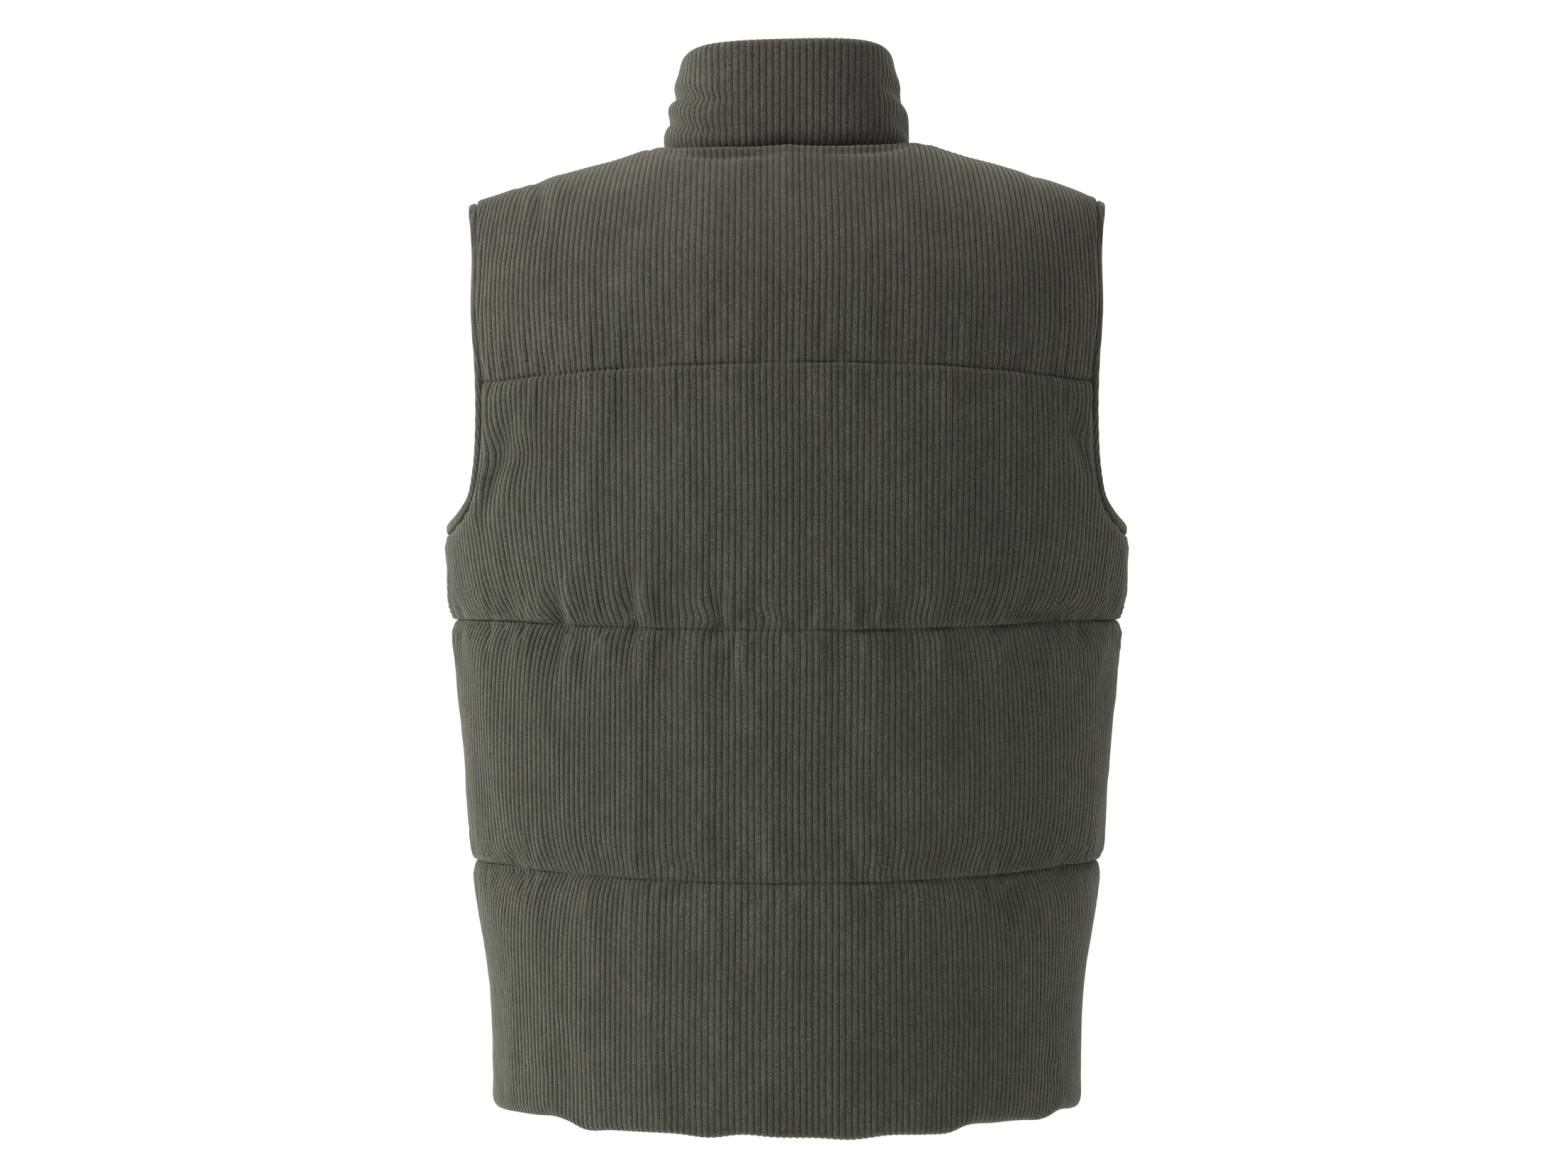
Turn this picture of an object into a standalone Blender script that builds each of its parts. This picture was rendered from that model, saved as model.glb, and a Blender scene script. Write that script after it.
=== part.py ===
"""A padded corduroy vest with a stand collar and a closed front zip, filled out as if worn.

Sizes are in millimetres and the meshes are written in metres, +Z up. The front faces -Y and the
wearer's left is +X. The origin is midway between the shoulders, level with the neck points, where
the shoulders carry the vest.

The shell is one smooth form, and every cloth piece is laid on it by two lengths of cloth:
  across  the way round from the centre back or the centre front
  up      the way up a column from the chest line, and over the shoulder above it
"""
from collections import namedtuple
from math import pi, radians

import bmesh
import bpy
import numpy as np
from mathutils import Matrix, Vector

MM = 0.001
BACK, FRONT = 1, -1
SEAM_GAP = 0.3

# ---------------------------------------------------------------- sizes of the form
CHEST_LINE = -200.0
HEM = -671.0
HEM_BACK_DROP = 5.0
HEM_DROP_HALF_WIDTH = 170.0

# Rings below the chest line, from the chest down to the hem
Ring = namedtuple("Ring", "height half_width back_depth front_depth")
RINGS = [
    Ring(-200, 235, 135, 133),
    Ring(-272, 235, 137, 138),
    Ring(-340, 230, 134, 134),
    Ring(-430, 221, 134, 132),
    Ring(-508, 215, 138, 134),
    Ring(-590, 203, 146, 140),
    Ring(-673, 200, 152, 146),
]

# The line along the top of the shoulders, where back and front meet
Ridge = namedtuple("Ridge", "half_width height")
RIDGE = [
    Ridge(0, 14),
    Ridge(50, 8),
    Ridge(88, -4),
    Ridge(114, -13),
    Ridge(143, -21),
    Ridge(182, -32),
    Ridge(235, -50),
]
SHOULDER_SEAM_Y = -12.0
BACK_SQUARENESS = 2.2
FRONT_SQUARENESS_MIDDLE = 1.75
FRONT_SQUARENESS_SIDE = 2.1
FRONT_SQUARE_FROM = 120.0

# The neck opening in plan, and the collar's rim
NECK_HALF_WIDTH = 84.0
NECK_BACK_Y = 66.0
NECK_FRONT_Y = -99.0
NECK_BACK_SQUARENESS = 2.8
NECK_FRONT_SQUARENESS = 2.2
RIM_HALF_WIDTH = 69.0
RIM_BACK_Y = 60.0
RIM_FRONT_Y = -90.0
RIM_BACK_HEIGHT = 67.0
RIM_FRONT_DROP = 73.0
RIM_DROP_POWER = 2.4

# The armhole's seam, by how far it lies from the side seam's line
Armhole = namedtuple("Armhole", "height from_side")
ARMHOLE = [
    Armhole(-281, 0),
    Armhole(-278, 24),
    Armhole(-269, 47),
    Armhole(-254, 65),
    Armhole(-234, 74),
    Armhole(-200, 77),
    Armhole(-160, 76),
    Armhole(-120, 71),
    Armhole(-80, 71),
]
ARMHOLE_TIP_X = 211.0
ARMHOLE_LINE_POINTS = 81
# The front edge of the armhole is cut further in, over this stretch of height
FRONT_SCOOP = 6.0
SCOOP_FROM, SCOOP_REACH = -282.0, 200.0

# How the filled vest sits a little uneven: its left shoulder is low and its right one high
SHOULDER_TILT = 2.2
TILT_WAVE = 260.0
TILT_FROM, TILT_FULL = -250.0, -60.0

# Quilting lines: the height at the centre and at the panel's edge
Quilting = namedtuple("Quilting", "centre edge")
BACK_LINES = [Quilting(-508, -508), Quilting(-339, -339), Quilting(-161, -169)]
FRONT_LINES = [Quilting(-508, -508), Quilting(-339, -339), Quilting(-169, -169)]
LINE_ARCH_AT = 206.0

# ---------------------------------------------------------------- the padded wall
CREST_OUT, CREST_IN = 6.0, -7.0
STITCHED_OUT, STITCHED_IN = 0.5, -2.5
RISE_ABOVE_LINE = 16.0
RISE_BELOW_LINE = 35.0
RISE_FROM_SEAM = 18.0
RISE_FROM_SIDE_SEAM = 14.0
RISE_FROM_ARMHOLE = 9.0
RISE_FROM_NECK = 18.0
HEM_ROUND = 10.0
SEAM_STATIONS = [RISE_FROM_SEAM, 5, 0]

# Rows of each channel: distances above its lower edge, even steps, distances below its upper edge
Channel = namedtuple("Channel", "starts steps ends")
CHANNELS = [
    Channel([0, 3, 10], 3, [33, 10, 0]),
    Channel([0, 4, 15], 3, [33, 10, 0]),
    Channel([0, 4, 15], 1, [20, 0]),
    Channel([0, 3, 9, 18, 30, 47], 1, [33, 10, 0]),
    Channel([0, 4, 15], 5, SEAM_STATIONS),
]
# Columns of the panels where they meet the neck, as shares of its half width
BACK_NECK_COLUMNS = (0, 0.38, 0.66, 0.84, 0.94, 0.987, 1)
FRONT_NECK_COLUMNS = (0.5, 0.75, 0.9, 0.98, 1)
YOKE_COLUMNS = 4

COLLAR_HALF_THICKNESS = 7.0
COLLAR_RISE = 12.0
COLLAR_LIFT = 1.3
COLLAR_ROWS = Channel([COLLAR_LIFT, 4, COLLAR_RISE], 2, [COLLAR_HALF_THICKNESS, 2.5, 0.4, 0])
FOLD_LEAST_WALL = 0.15
BAND_HALF_WIDTH = 7.0
BAND_HALF_THICKNESS = 5.5
BAND_CORNERS = 8

# ---------------------------------------------------------------- the zip
FRONT_EDGE = 6.0
ZIP_FACING = 16.0
TAPE_INNER_EDGE = 1.6
TAPE_THICKNESS = 0.8
TAPE_FOOT = 14.0
TAPE_ROWS_ON_FRONT, TAPE_ROWS_ON_COLLAR = 30, 6
TAPE_COLLAR_FROM, TAPE_HEAD = 0.03, 0.94
TAPE_DEPTH = STITCHED_IN - SEAM_GAP - TAPE_THICKNESS / 2
SLIDER_BELOW_RIM = 16.0
PLATE_WIDTH, PLATE_LENGTH, PLATE_THICKNESS = 9.0, 13.0, 1.2
PLATE_CORNER = 1.8
MOUTH = 3.4
POST_WIDTH, POST_LENGTH = 2.0, 4.5
BRIDGE_WIDTH, BRIDGE_LENGTH, BRIDGE_THICKNESS = 2.4, 6.0, 1.0
BRIDGE_ROOM = 2.6
SUNK = 0.4
TAB_WIDTH, TAB_LENGTH, TAB_THICKNESS = 7.0, 32.0, 1.5
TAB_CORNER = 2.4
EYE_WIDTH, EYE_REACH = 3.8, 5.5
HINGE_ABOVE_MIDDLE = -0.7
BOX_WIDTH, BOX_LENGTH, BOX_THICKNESS = 8.6, 9.0, 4.6


# ---------------------------------------------------------------- small mathematics
def curve_through(at, values):
    """A smooth curve through a few points: a function of numpy arrays, level past both ends."""
    at, values = np.asarray(at, float), np.asarray(values, float)
    if at[0] > at[-1]:
        at, values = at[::-1], values[::-1]
    slopes = np.gradient(values, at)

    def curve(x):
        x = np.clip(x, at[0], at[-1])
        k = np.clip(np.searchsorted(at, x) - 1, 0, len(at) - 2)
        step = at[k + 1] - at[k]
        f = (x - at[k]) / step
        rise = values[k] * (1 + 2 * f) * (1 - f) ** 2 + values[k + 1] * f * f * (3 - 2 * f)
        return rise + step * f * (1 - f) * (slopes[k] * (1 - f) - slopes[k + 1] * f)

    return curve


def arc_speeds(a, b):
    """The mean and first two waves of an ellipse's arc length for each radian."""
    middle = np.sqrt((a * a + b * b) / 2)
    return (a + 2 * middle + b) / 4, (a - b) / 2, (a - 2 * middle + b) / 4


def arc_length(angle, a, b):
    """Arc length of the ellipse (a sin, b cos) from angle 0."""
    mean, twice, four = arc_speeds(a, b)
    return mean * angle + twice / 2 * np.sin(2 * angle) + four / 4 * np.sin(4 * angle)


def arc_angle(length, a, b):
    """The angle at an arc length, by Newton's method."""
    mean, twice, four = arc_speeds(a, b)
    angle = length / mean
    for _ in range(5):
        speed = mean + twice * np.cos(2 * angle) + four * np.cos(4 * angle)
        angle = angle - (arc_length(angle, a, b) - length) / speed
    return angle


def rounded(distance, reach):
    """From 0 to 1 over a reach, as a quarter circle rises."""
    f = np.clip(distance / reach, 0, 1)
    return np.sqrt(f * (2 - f))


def eased(distance, reach):
    """From 0 to 1 over a reach, as a sine rises: slowly enough for an inner corner."""
    return np.sin(pi / 2 * np.clip(distance / reach, 0, 1))


def distance_to(line, across, up):
    """Each point's least distance to a line of points, on the flat cloth."""
    start, step = line[:-1], np.diff(line, axis=0)
    length = np.maximum((step**2).sum(-1), 1e-9)
    point = np.stack([across, up], axis=-1)[..., None, :]
    along = np.clip(((point - start) * step).sum(-1) / length, 0, 1)
    return np.linalg.norm(point - start - along[..., None] * step, axis=-1).min(-1)


# ---------------------------------------------------------------- the form
heights = [ring.height for ring in RINGS]
half_width_at = curve_through(heights, [ring.half_width for ring in RINGS])
back_depth_at = curve_through(heights, [ring.back_depth for ring in RINGS])
front_depth_at = curve_through(heights, [ring.front_depth for ring in RINGS])
ridge_at = curve_through([r.half_width for r in RIDGE], [r.height for r in RIDGE])


def depth_at(height, side):
    return back_depth_at(height) if side == BACK else front_depth_at(height)


def quarter(height, side):
    """Length of a quarter ring, from the centre to the side seam."""
    return arc_length(pi / 2, half_width_at(height), depth_at(height, side))


def squareness(x, side):
    """How square a column's roll over the shoulder is: 2 is an ellipse."""
    if side == BACK:
        return np.full_like(x, BACK_SQUARENESS)
    outward = np.clip(np.abs(x) / FRONT_SQUARE_FROM, 0, 1)
    middle, edge = FRONT_SQUARENESS_MIDDLE, FRONT_SQUARENESS_SIDE
    return middle + (edge - middle) * outward**2


def column_depth(x, side):
    """How far a column stands from the ridge at the chest line."""
    wide = half_width_at(CHEST_LINE)
    return depth_at(CHEST_LINE, side) * np.sqrt(np.clip(1 - (x / wide) ** 2, 0.01, 1))


def column_rise(x):
    return ridge_at(np.abs(x)) - CHEST_LINE


def roll_length(x, side):
    """Length of a column from the chest line to the ridge."""
    return arc_length(pi / 2, column_rise(x), column_depth(x, side))


def yoke_point(x, up, side):
    """A point above the chest line. Past the ridge, a column runs down the other side."""
    own, other = roll_length(x, side), roll_length(x, -side)
    over = up > own
    depth = np.where(over, column_depth(x, -side), column_depth(x, side))
    square = np.where(over, squareness(x, -side), squareness(x, side))
    rise = column_rise(x)
    angle = arc_angle(np.where(over, own + other - up, up), rise, depth)
    near, high = np.abs(np.cos(angle)), np.sin(angle)
    size = (near**square + np.abs(high) ** square) ** (1 / square)
    y = np.where(over, -side, side) * depth * near / size
    return x, y, CHEST_LINE + rise * high / size


def ring_point(across, up, side):
    """A point below the chest line."""
    height = CHEST_LINE + up
    wide, deep = half_width_at(height), depth_at(height, side)
    angle = arc_angle(across, wide, deep)
    return wide * np.sin(angle), side * deep * np.cos(angle), height


def form(across, up, side):
    """The form's surface: an array of points for arrays of cloth lengths."""
    low = ring_point(across, np.minimum(up, 0), side)
    wide, deep = half_width_at(CHEST_LINE), depth_at(CHEST_LINE, side)
    column_x = wide * np.sin(arc_angle(across, wide, deep))
    high = yoke_point(column_x, np.maximum(up, 0), side)
    return np.stack([np.where(up > 0, h, l) for h, l in zip(high, low)], axis=-1)


def outward(surface, u, v, flip):
    """Unit normals of a surface of two cloth lengths."""
    step = 0.5
    along_u = surface(u + step, v) - surface(u - step, v)
    along_v = surface(u, v + step) - surface(u, v - step)
    normal = flip * np.cross(along_u, along_v)
    return normal / np.linalg.norm(normal, axis=-1, keepdims=True)


def form_normal(across, up, side):
    return outward(lambda a, u: form(a, u, side), across, up, -side)


def across_of(x, side):
    """The cloth length of a column above the chest line, from its x."""
    wide, deep = half_width_at(CHEST_LINE), depth_at(CHEST_LINE, side)
    return arc_length(np.arcsin(x / wide), wide, deep)


def up_of(x, y, side):
    """The cloth length up a column, from where it passes over a place in plan."""
    over = y * side < 0
    depth = np.where(over, column_depth(x, -side), column_depth(x, side))
    square = np.where(over, squareness(x, -side), squareness(x, side))
    near = np.clip(np.abs(y) / depth, 0, 1)
    high = (1 - near**square) ** (1 / square)
    length = arc_length(np.arctan2(high, near), column_rise(x), depth)
    return np.where(over, roll_length(x, side) + roll_length(x, -side) - length, length)


# ---------------------------------------------------------------- outlines on the cloth
def neck_plan(angle, half_width, back_y, front_y):
    """The neck's outline in plan: 0 is the centre back, pi/2 a shoulder seam, pi the centre front."""
    back = np.cos(angle) >= 0
    square = np.where(back, NECK_BACK_SQUARENESS, NECK_FRONT_SQUARENESS)
    reach = np.where(back, back_y, front_y) - SHOULDER_SEAM_Y
    wide, deep = np.abs(np.sin(angle)), np.abs(np.cos(angle))
    size = (wide**square + deep**square) ** (1 / square)
    return half_width * np.sin(angle) / size, SHOULDER_SEAM_Y + reach * deep / size


def neck_seam(angle):
    """Where the collar joins the body, as points."""
    x, y = neck_plan(angle, NECK_HALF_WIDTH, NECK_BACK_Y, NECK_FRONT_Y)
    points = [form(across_of(x, s), up_of(x, y, s), s) for s in (BACK, FRONT)]
    return np.where((y > 0)[..., None], *points)


def armhole_line(side):
    """The armhole's seam from the side seam up to the shoulder's tip, as cloth lengths."""
    up = np.array([row.height - CHEST_LINE for row in ARMHOLE])
    from_side = np.array([row.from_side for row in ARMHOLE], float)
    if side == FRONT:
        share = (CHEST_LINE + up - SCOOP_FROM) / SCOOP_REACH
        from_side += FRONT_SCOOP * np.sin(pi * np.clip(share, 0, 1))
    across = quarter(CHEST_LINE + np.minimum(up, 0), side) - from_side
    tip_x = np.array(ARMHOLE_TIP_X)
    tip = across_of(tip_x, side), up_of(tip_x, np.array(SHOULDER_SEAM_Y), side)
    across, up = np.append(across, tip[0]), np.append(up, tip[1])
    # A smooth curve by distance along the line
    along = np.concatenate([[0], np.cumsum(np.hypot(np.diff(across), np.diff(up)))])
    fine = np.linspace(0, along[-1], ARMHOLE_LINE_POINTS)
    return np.stack([curve_through(along, across)(fine), curve_through(along, up)(fine)], axis=-1)


def panel_top(across, side):
    """How far up each column of a panel reaches: to the neck seam or the shoulder seam."""
    wide, deep = half_width_at(CHEST_LINE), depth_at(CHEST_LINE, side)
    x = np.abs(wide * np.sin(arc_angle(across, wide, deep)))
    inside = np.clip(x / NECK_HALF_WIDTH, 0, 1)
    square = NECK_BACK_SQUARENESS if side == BACK else NECK_FRONT_SQUARENESS
    reach = (NECK_BACK_Y if side == BACK else NECK_FRONT_Y) - SHOULDER_SEAM_Y
    y = SHOULDER_SEAM_Y + reach * (1 - inside**square) ** (1 / square)
    return up_of(x, y, side)


def panel_side(up, side):
    """How far each row of a panel reaches: to the side seam or the armhole."""
    seam = quarter(CHEST_LINE + np.minimum(up, 0), side)
    line = armhole_line(side)
    return np.where(up < line[0, 1], seam, np.interp(up, line[:, 1], line[:, 0]))


def panel_seams(side):
    """A panel's seams as lines on the cloth, each with how its padding rises and over what reach."""
    armhole = armhole_line(side)
    seam_up = np.linspace(HEM - CHEST_LINE - 20, armhole[0, 1], 12)
    side_seam = np.stack([quarter(CHEST_LINE + seam_up, side), seam_up], axis=-1)
    x = np.linspace(ARMHOLE_TIP_X, NECK_HALF_WIDTH, 12)
    shoulder = np.stack([across_of(x, side), up_of(x, SHOULDER_SEAM_Y, side)], axis=-1)
    turn = np.linspace(pi / 2, 0 if side == BACK else pi, 25)
    x, y = neck_plan(turn, NECK_HALF_WIDTH, NECK_BACK_Y, NECK_FRONT_Y)
    neck = np.stack([across_of(x, side), up_of(x, y, side)], axis=-1)
    return [
        (side_seam, rounded, RISE_FROM_SIDE_SEAM),
        (armhole, rounded, RISE_FROM_ARMHOLE),
        (shoulder, rounded, RISE_FROM_SEAM),
        (neck, eased, RISE_FROM_NECK),
    ]


def hem_up(across, side):
    """The hem's place on each column: the back hangs a little lower round its centre."""
    outer = np.clip(np.abs(across) / HEM_DROP_HALF_WIDTH, 0, 1)
    drop = HEM_BACK_DROP * (1 - outer**4) ** 2 if side == BACK else 0.0
    return HEM - CHEST_LINE - drop


def line_up(line, across):
    """A quilting line's place on each column."""
    outer = np.clip(np.abs(across) / LINE_ARCH_AT, 0, 1)
    return line.centre + (line.edge - line.centre) * outer**2 - CHEST_LINE


# ---------------------------------------------------------------- the panels
def padding(across, up, side):
    """How full the padding is at a place, from 0 on a stitched line or seam to 1."""
    lines = BACK_LINES if side == BACK else FRONT_LINES
    full = np.ones_like(across)
    for seam, rise, reach in panel_seams(side):
        full = full * rise(distance_to(seam, np.abs(across), up), reach)
    for line in lines:
        above = up - line_up(line, across)
        full = full * np.where(
            above > 0, rounded(above, RISE_ABOVE_LINE), rounded(-above, RISE_BELOW_LINE)
        )
    full = full * rounded(up - hem_up(across, side), HEM_ROUND)
    if side == FRONT:
        full = full * rounded(across - ZIP_FACING, RISE_FROM_SEAM)
    return full


def stations(starts, steps, ends):
    """Places between two edges, at given distances from both and in even steps between: the
    share of the second edge in each, and what is added to it."""
    shares = [0.0] * len(starts) + [k / steps for k in range(1, steps)] + [1.0] * len(ends)
    added = list(starts) + [0.0] * (steps - 1) + [-d for d in ends]
    for k in range(1, steps):
        added[len(starts) + k - 1] = starts[-1] * (1 - k / steps) - ends[0] * k / steps
    return np.array(shares), np.array(added)


def panel_rows(side):
    """For each row of a panel: the edges below and above it, its share and what is added."""
    lines = BACK_LINES if side == BACK else FRONT_LINES
    edges = [lambda a: hem_up(a, side)]
    edges += [lambda a, line=line: line_up(line, a) for line in lines]
    edges.insert(3, lambda a: np.full_like(a, ARMHOLE[0].height - CHEST_LINE))
    edges.append(lambda a: panel_top(a, side))
    rows = []
    for number, channel in enumerate(CHANNELS):
        low, high = edges[number : number + 2]
        shares, added = stations(*channel)
        rows += [(low, high, f, d) for f, d in zip(shares, added)][min(number, 1) :]
    return rows


def panel_grid(side, columns):
    """Cloth lengths of a panel's points, row by row from the hem, cut to its outline."""
    shares, added = columns
    across_rows, up_rows = [], []
    for low, high, share, more in panel_rows(side):
        across = shares * quarter(CHEST_LINE, side) + added
        for _ in range(12):
            up = low(across) * (1 - share) + high(across) * share + more
            across = shares * panel_side(up, side) + added
        across_rows.append(across)
        up_rows.append(up)
    return np.array(across_rows), np.array(up_rows)


def column_stations(side):
    """A panel's columns from its middle to its side: closer round the neck and by the seams."""
    neck = across_of(np.array(NECK_HALF_WIDTH), side)
    neck = float(neck / (across_of(np.array(ARMHOLE_TIP_X), side) - RISE_FROM_SEAM))
    if side == BACK:
        shares = [neck * f for f in BACK_NECK_COLUMNS]
        first = []
    else:
        shares = [neck * f for f in FRONT_NECK_COLUMNS]
        first = [FRONT_EDGE, ZIP_FACING, ZIP_FACING + 4]
    shares += [neck + (1 - neck) * k / YOKE_COLUMNS for k in range(1, YOKE_COLUMNS + 1)]
    added = first + [-RISE_FROM_SEAM * f for f in shares] + [-d for d in SEAM_STATIONS[1:]]
    shares = [0.0] * len(first) + shares + [1.0] * (len(SEAM_STATIONS) - 1)
    if side == BACK:
        shares = [-f for f in shares[:0:-1]] + shares
        added = [-d for d in added[:0:-1]] + added
    return np.array(shares), np.array(added)


def panel_faces(side):
    """A panel's outer and inner faces, pulled in by half the seam gap at its seams."""
    across, up = panel_grid(side, column_stations(side))
    full = padding(across, up, side)
    across, up = pulled_in(across, up, side)
    surface, normal = form(across, up, side), form_normal(across, up, side)
    out = STITCHED_OUT + (CREST_OUT - STITCHED_OUT) * full
    inn = STITCHED_IN + (CREST_IN - STITCHED_IN) * full
    return surface + normal * out[..., None], surface + normal * inn[..., None]


def pulled_in(across, up, side):
    """The same points with the outermost ones moved in by half the seam gap."""
    across, up = across.copy(), up.copy()
    across[:, -1] -= SEAM_GAP / 2
    if side == BACK:
        across[:, 0] += SEAM_GAP / 2
    up[-1] -= SEAM_GAP / 2
    return across, up


# ---------------------------------------------------------------- the collar
def collar_form(angle, height):
    """The collar's middle surface: angle round the neck, height from 0 at the seam to 1."""
    low = neck_seam(angle)
    x, y = neck_plan(angle, RIM_HALF_WIDTH, RIM_BACK_Y, RIM_FRONT_Y)
    forward = (RIM_BACK_Y - y) / (RIM_BACK_Y - RIM_FRONT_Y)
    high = np.stack([x, y, RIM_BACK_HEIGHT - RIM_FRONT_DROP * forward**RIM_DROP_POWER], axis=-1)
    return low + (high - low) * height[..., None]


def collar_normal(angle, height):
    def surface(turn, level):
        return collar_form(turn / 100, level / 100)

    return outward(surface, angle * 100, height * 100, -1)


def neck_turns(side):
    """The turns round the neck, from 0 at the centre back to pi, at a panel's own columns."""
    across, up = panel_grid(side, column_stations(side))
    top = form(across[-1], up[-1], side)
    at_neck = (top[:, 0] >= 0) & (top[:, 0] < NECK_HALF_WIDTH + 0.1)
    x, y, _ = top[at_neck].T
    reach = (NECK_BACK_Y if side == BACK else NECK_FRONT_Y) - SHOULDER_SEAM_Y
    turns = np.arctan2(x / NECK_HALF_WIDTH, side * (y - SHOULDER_SEAM_Y) / reach)
    return sorted(turns)


def collar_faces():
    """The collar's outer and inner faces, from the seam up to its folded edge."""
    half = neck_turns(BACK)[:-1] + neck_turns(FRONT)
    angles = np.array([-a for a in half[:0:-1]] + half)
    facing = pi - np.arcsin(ZIP_FACING / NECK_HALF_WIDTH)
    length = RIM_BACK_HEIGHT - NECK_FLAT_HEIGHT
    shares, added = stations(*COLLAR_ROWS)
    level = shares + added / length
    angle, height = np.meshgrid(angles, level)
    surface, normal = collar_form(angle, height), collar_normal(angle, height)
    from_seam, from_rim = height * length, (1 - height) * length
    from_facing = NECK_HALF_WIDTH * (facing - np.abs(angle))
    full = eased(from_seam, COLLAR_RISE) * rounded(from_facing, COLLAR_RISE)
    top = rounded(from_rim, COLLAR_HALF_THICKNESS)
    out = STITCHED_OUT + (COLLAR_HALF_THICKNESS - STITCHED_OUT) * full
    inn = STITCHED_IN + (-COLLAR_HALF_THICKNESS - STITCHED_IN) * full
    middle, half_wall = (out + inn) / 2, (out - inn) / 2 * np.maximum(top, FOLD_LEAST_WALL)
    return (
        surface + normal * (middle + half_wall)[..., None],
        surface + normal * (middle - half_wall)[..., None],
    )


NECK_FLAT_HEIGHT = float(neck_seam(np.array([0.0]))[0, 2])


# ---------------------------------------------------------------- the armhole bands
def band_rings():
    """Rings of the left armhole's band, from the panels' own edge points: up the back edge and
    down the front edge."""
    sides = []
    for side in (BACK, FRONT):
        across, up = panel_grid(side, column_stations(side))
        edge = up[:, -1] > ARMHOLE[0].height - CHEST_LINE - 0.1
        across, up = across[edge, -1], up[edge, -1]
        sides.append((form(across, up, side), form_normal(across, up, side)))
    points = np.concatenate([sides[0][0], sides[1][0][-2:0:-1]])
    normals = np.concatenate([sides[0][1], sides[1][1][-2:0:-1]])
    along = np.roll(points, -1, axis=0) - np.roll(points, 1, axis=0)
    along /= np.linalg.norm(along, axis=-1, keepdims=True)
    into_hole = np.cross(normals, along)
    into_hole /= np.linalg.norm(into_hole, axis=-1, keepdims=True)
    normals = np.cross(along, into_hole)
    centre = points + into_hole * (SEAM_GAP + BAND_HALF_WIDTH)
    centre += normals * (STITCHED_OUT + STITCHED_IN) / 2
    rings = []
    for k in range(BAND_CORNERS):
        turn = 2 * pi * (k + 0.5) / BAND_CORNERS
        rings.append(
            centre
            + into_hole * BAND_HALF_WIDTH * np.cos(turn)
            + normals * BAND_HALF_THICKNESS * np.sin(turn)
        )
    return np.stack(rings, axis=1)


# ---------------------------------------------------------------- the zip's places
def tape_faces():
    """The left tape's outer and inner faces, from its foot to just under the collar's rim."""
    across = np.array([TAPE_INNER_EDGE, FRONT_EDGE, ZIP_FACING])
    neck_up = float(panel_top(np.array(0.0), FRONT))
    foot_up = HEM - CHEST_LINE + TAPE_FOOT
    grid = np.meshgrid(across, np.linspace(foot_up, neck_up - 1, TAPE_ROWS_ON_FRONT))
    turn = pi - np.arcsin(across / NECK_HALF_WIDTH)
    level = np.linspace(TAPE_COLLAR_FROM, TAPE_HEAD, TAPE_ROWS_ON_COLLAR)
    collar_grid = np.meshgrid(turn, level)
    points = np.concatenate([form(*grid, FRONT), collar_form(*collar_grid)])
    normals = np.concatenate([form_normal(*grid, FRONT), collar_normal(*collar_grid)])
    half = TAPE_THICKNESS / 2
    return points + normals * (TAPE_DEPTH + half), points + normals * (TAPE_DEPTH - half)


def placed_on_zip(point, normal):
    """The frame of a hard piece on the zip's middle line: X to the left, Y inward, Z up the zip."""
    middle = settled(point + normal * TAPE_DEPTH)
    inward = Vector(-normal)
    across = Vector((1, 0, 0))
    up = across.cross(inward)
    place = Matrix((across, inward, up)).transposed().to_4x4()
    place.translation = Vector(middle) * MM
    return place


def slider_place():
    angle = np.array(pi)
    length = np.linalg.norm(collar_form(angle, np.array(1.0)) - collar_form(angle, np.array(0.0)))
    height = np.array(1 - SLIDER_BELOW_RIM / length)
    return placed_on_zip(collar_form(angle, height), collar_normal(angle, height))


def box_place():
    across = np.array(0.0)
    up = np.array(HEM - CHEST_LINE + TAPE_FOOT - SEAM_GAP - BOX_LENGTH / 2)
    return placed_on_zip(form(across, up, FRONT), form_normal(across, up, FRONT))


def settled(points):
    """Points of the even form, moved to where the uneven vest has them."""
    x, z = points[..., 0], points[..., 2]
    share = np.clip((z - TILT_FROM) / (TILT_FULL - TILT_FROM), 0, 1)
    drop = SHOULDER_TILT * np.sin(pi * x / TILT_WAVE) * share * share * (3 - 2 * share)
    return points - np.stack([0 * x, 0 * x, drop], axis=-1)


# ---------------------------------------------------------------- meshes and materials
def linear(hex_colour):
    """An sRGB hex colour as linear red, green, blue and alpha."""
    parts = [int(hex_colour[k : k + 2], 16) / 255 for k in (0, 2, 4)]
    return [c / 12.92 if c <= 0.04045 else ((c + 0.055) / 1.055) ** 2.4 for c in parts] + [1]


def finish(name, hex_colour, roughness, metallic=0.0):
    material = bpy.data.materials.new(name)
    material.use_nodes = True
    shader = material.node_tree.nodes["Principled BSDF"]
    shader.inputs["Base Color"].default_value = linear(hex_colour)
    shader.inputs["Roughness"].default_value = roughness
    shader.inputs["Metallic"].default_value = metallic
    return material


def add_piece(name, build, material, smooth=True):
    """Make a named object from a bmesh that was built in millimetres."""
    bmesh.ops.recalc_face_normals(build, faces=build.faces)
    bmesh.ops.scale(build, vec=(MM, MM, MM), verts=build.verts)
    mesh = bpy.data.meshes.new(name)
    build.to_mesh(mesh)
    build.free()
    mesh.materials.append(material)
    if smooth:
        mesh.shade_smooth()
        mesh.set_sharp_from_angle(angle=radians(50))
    piece = bpy.data.objects.new(name, mesh)
    bpy.context.scene.collection.objects.link(piece)
    return piece


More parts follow.
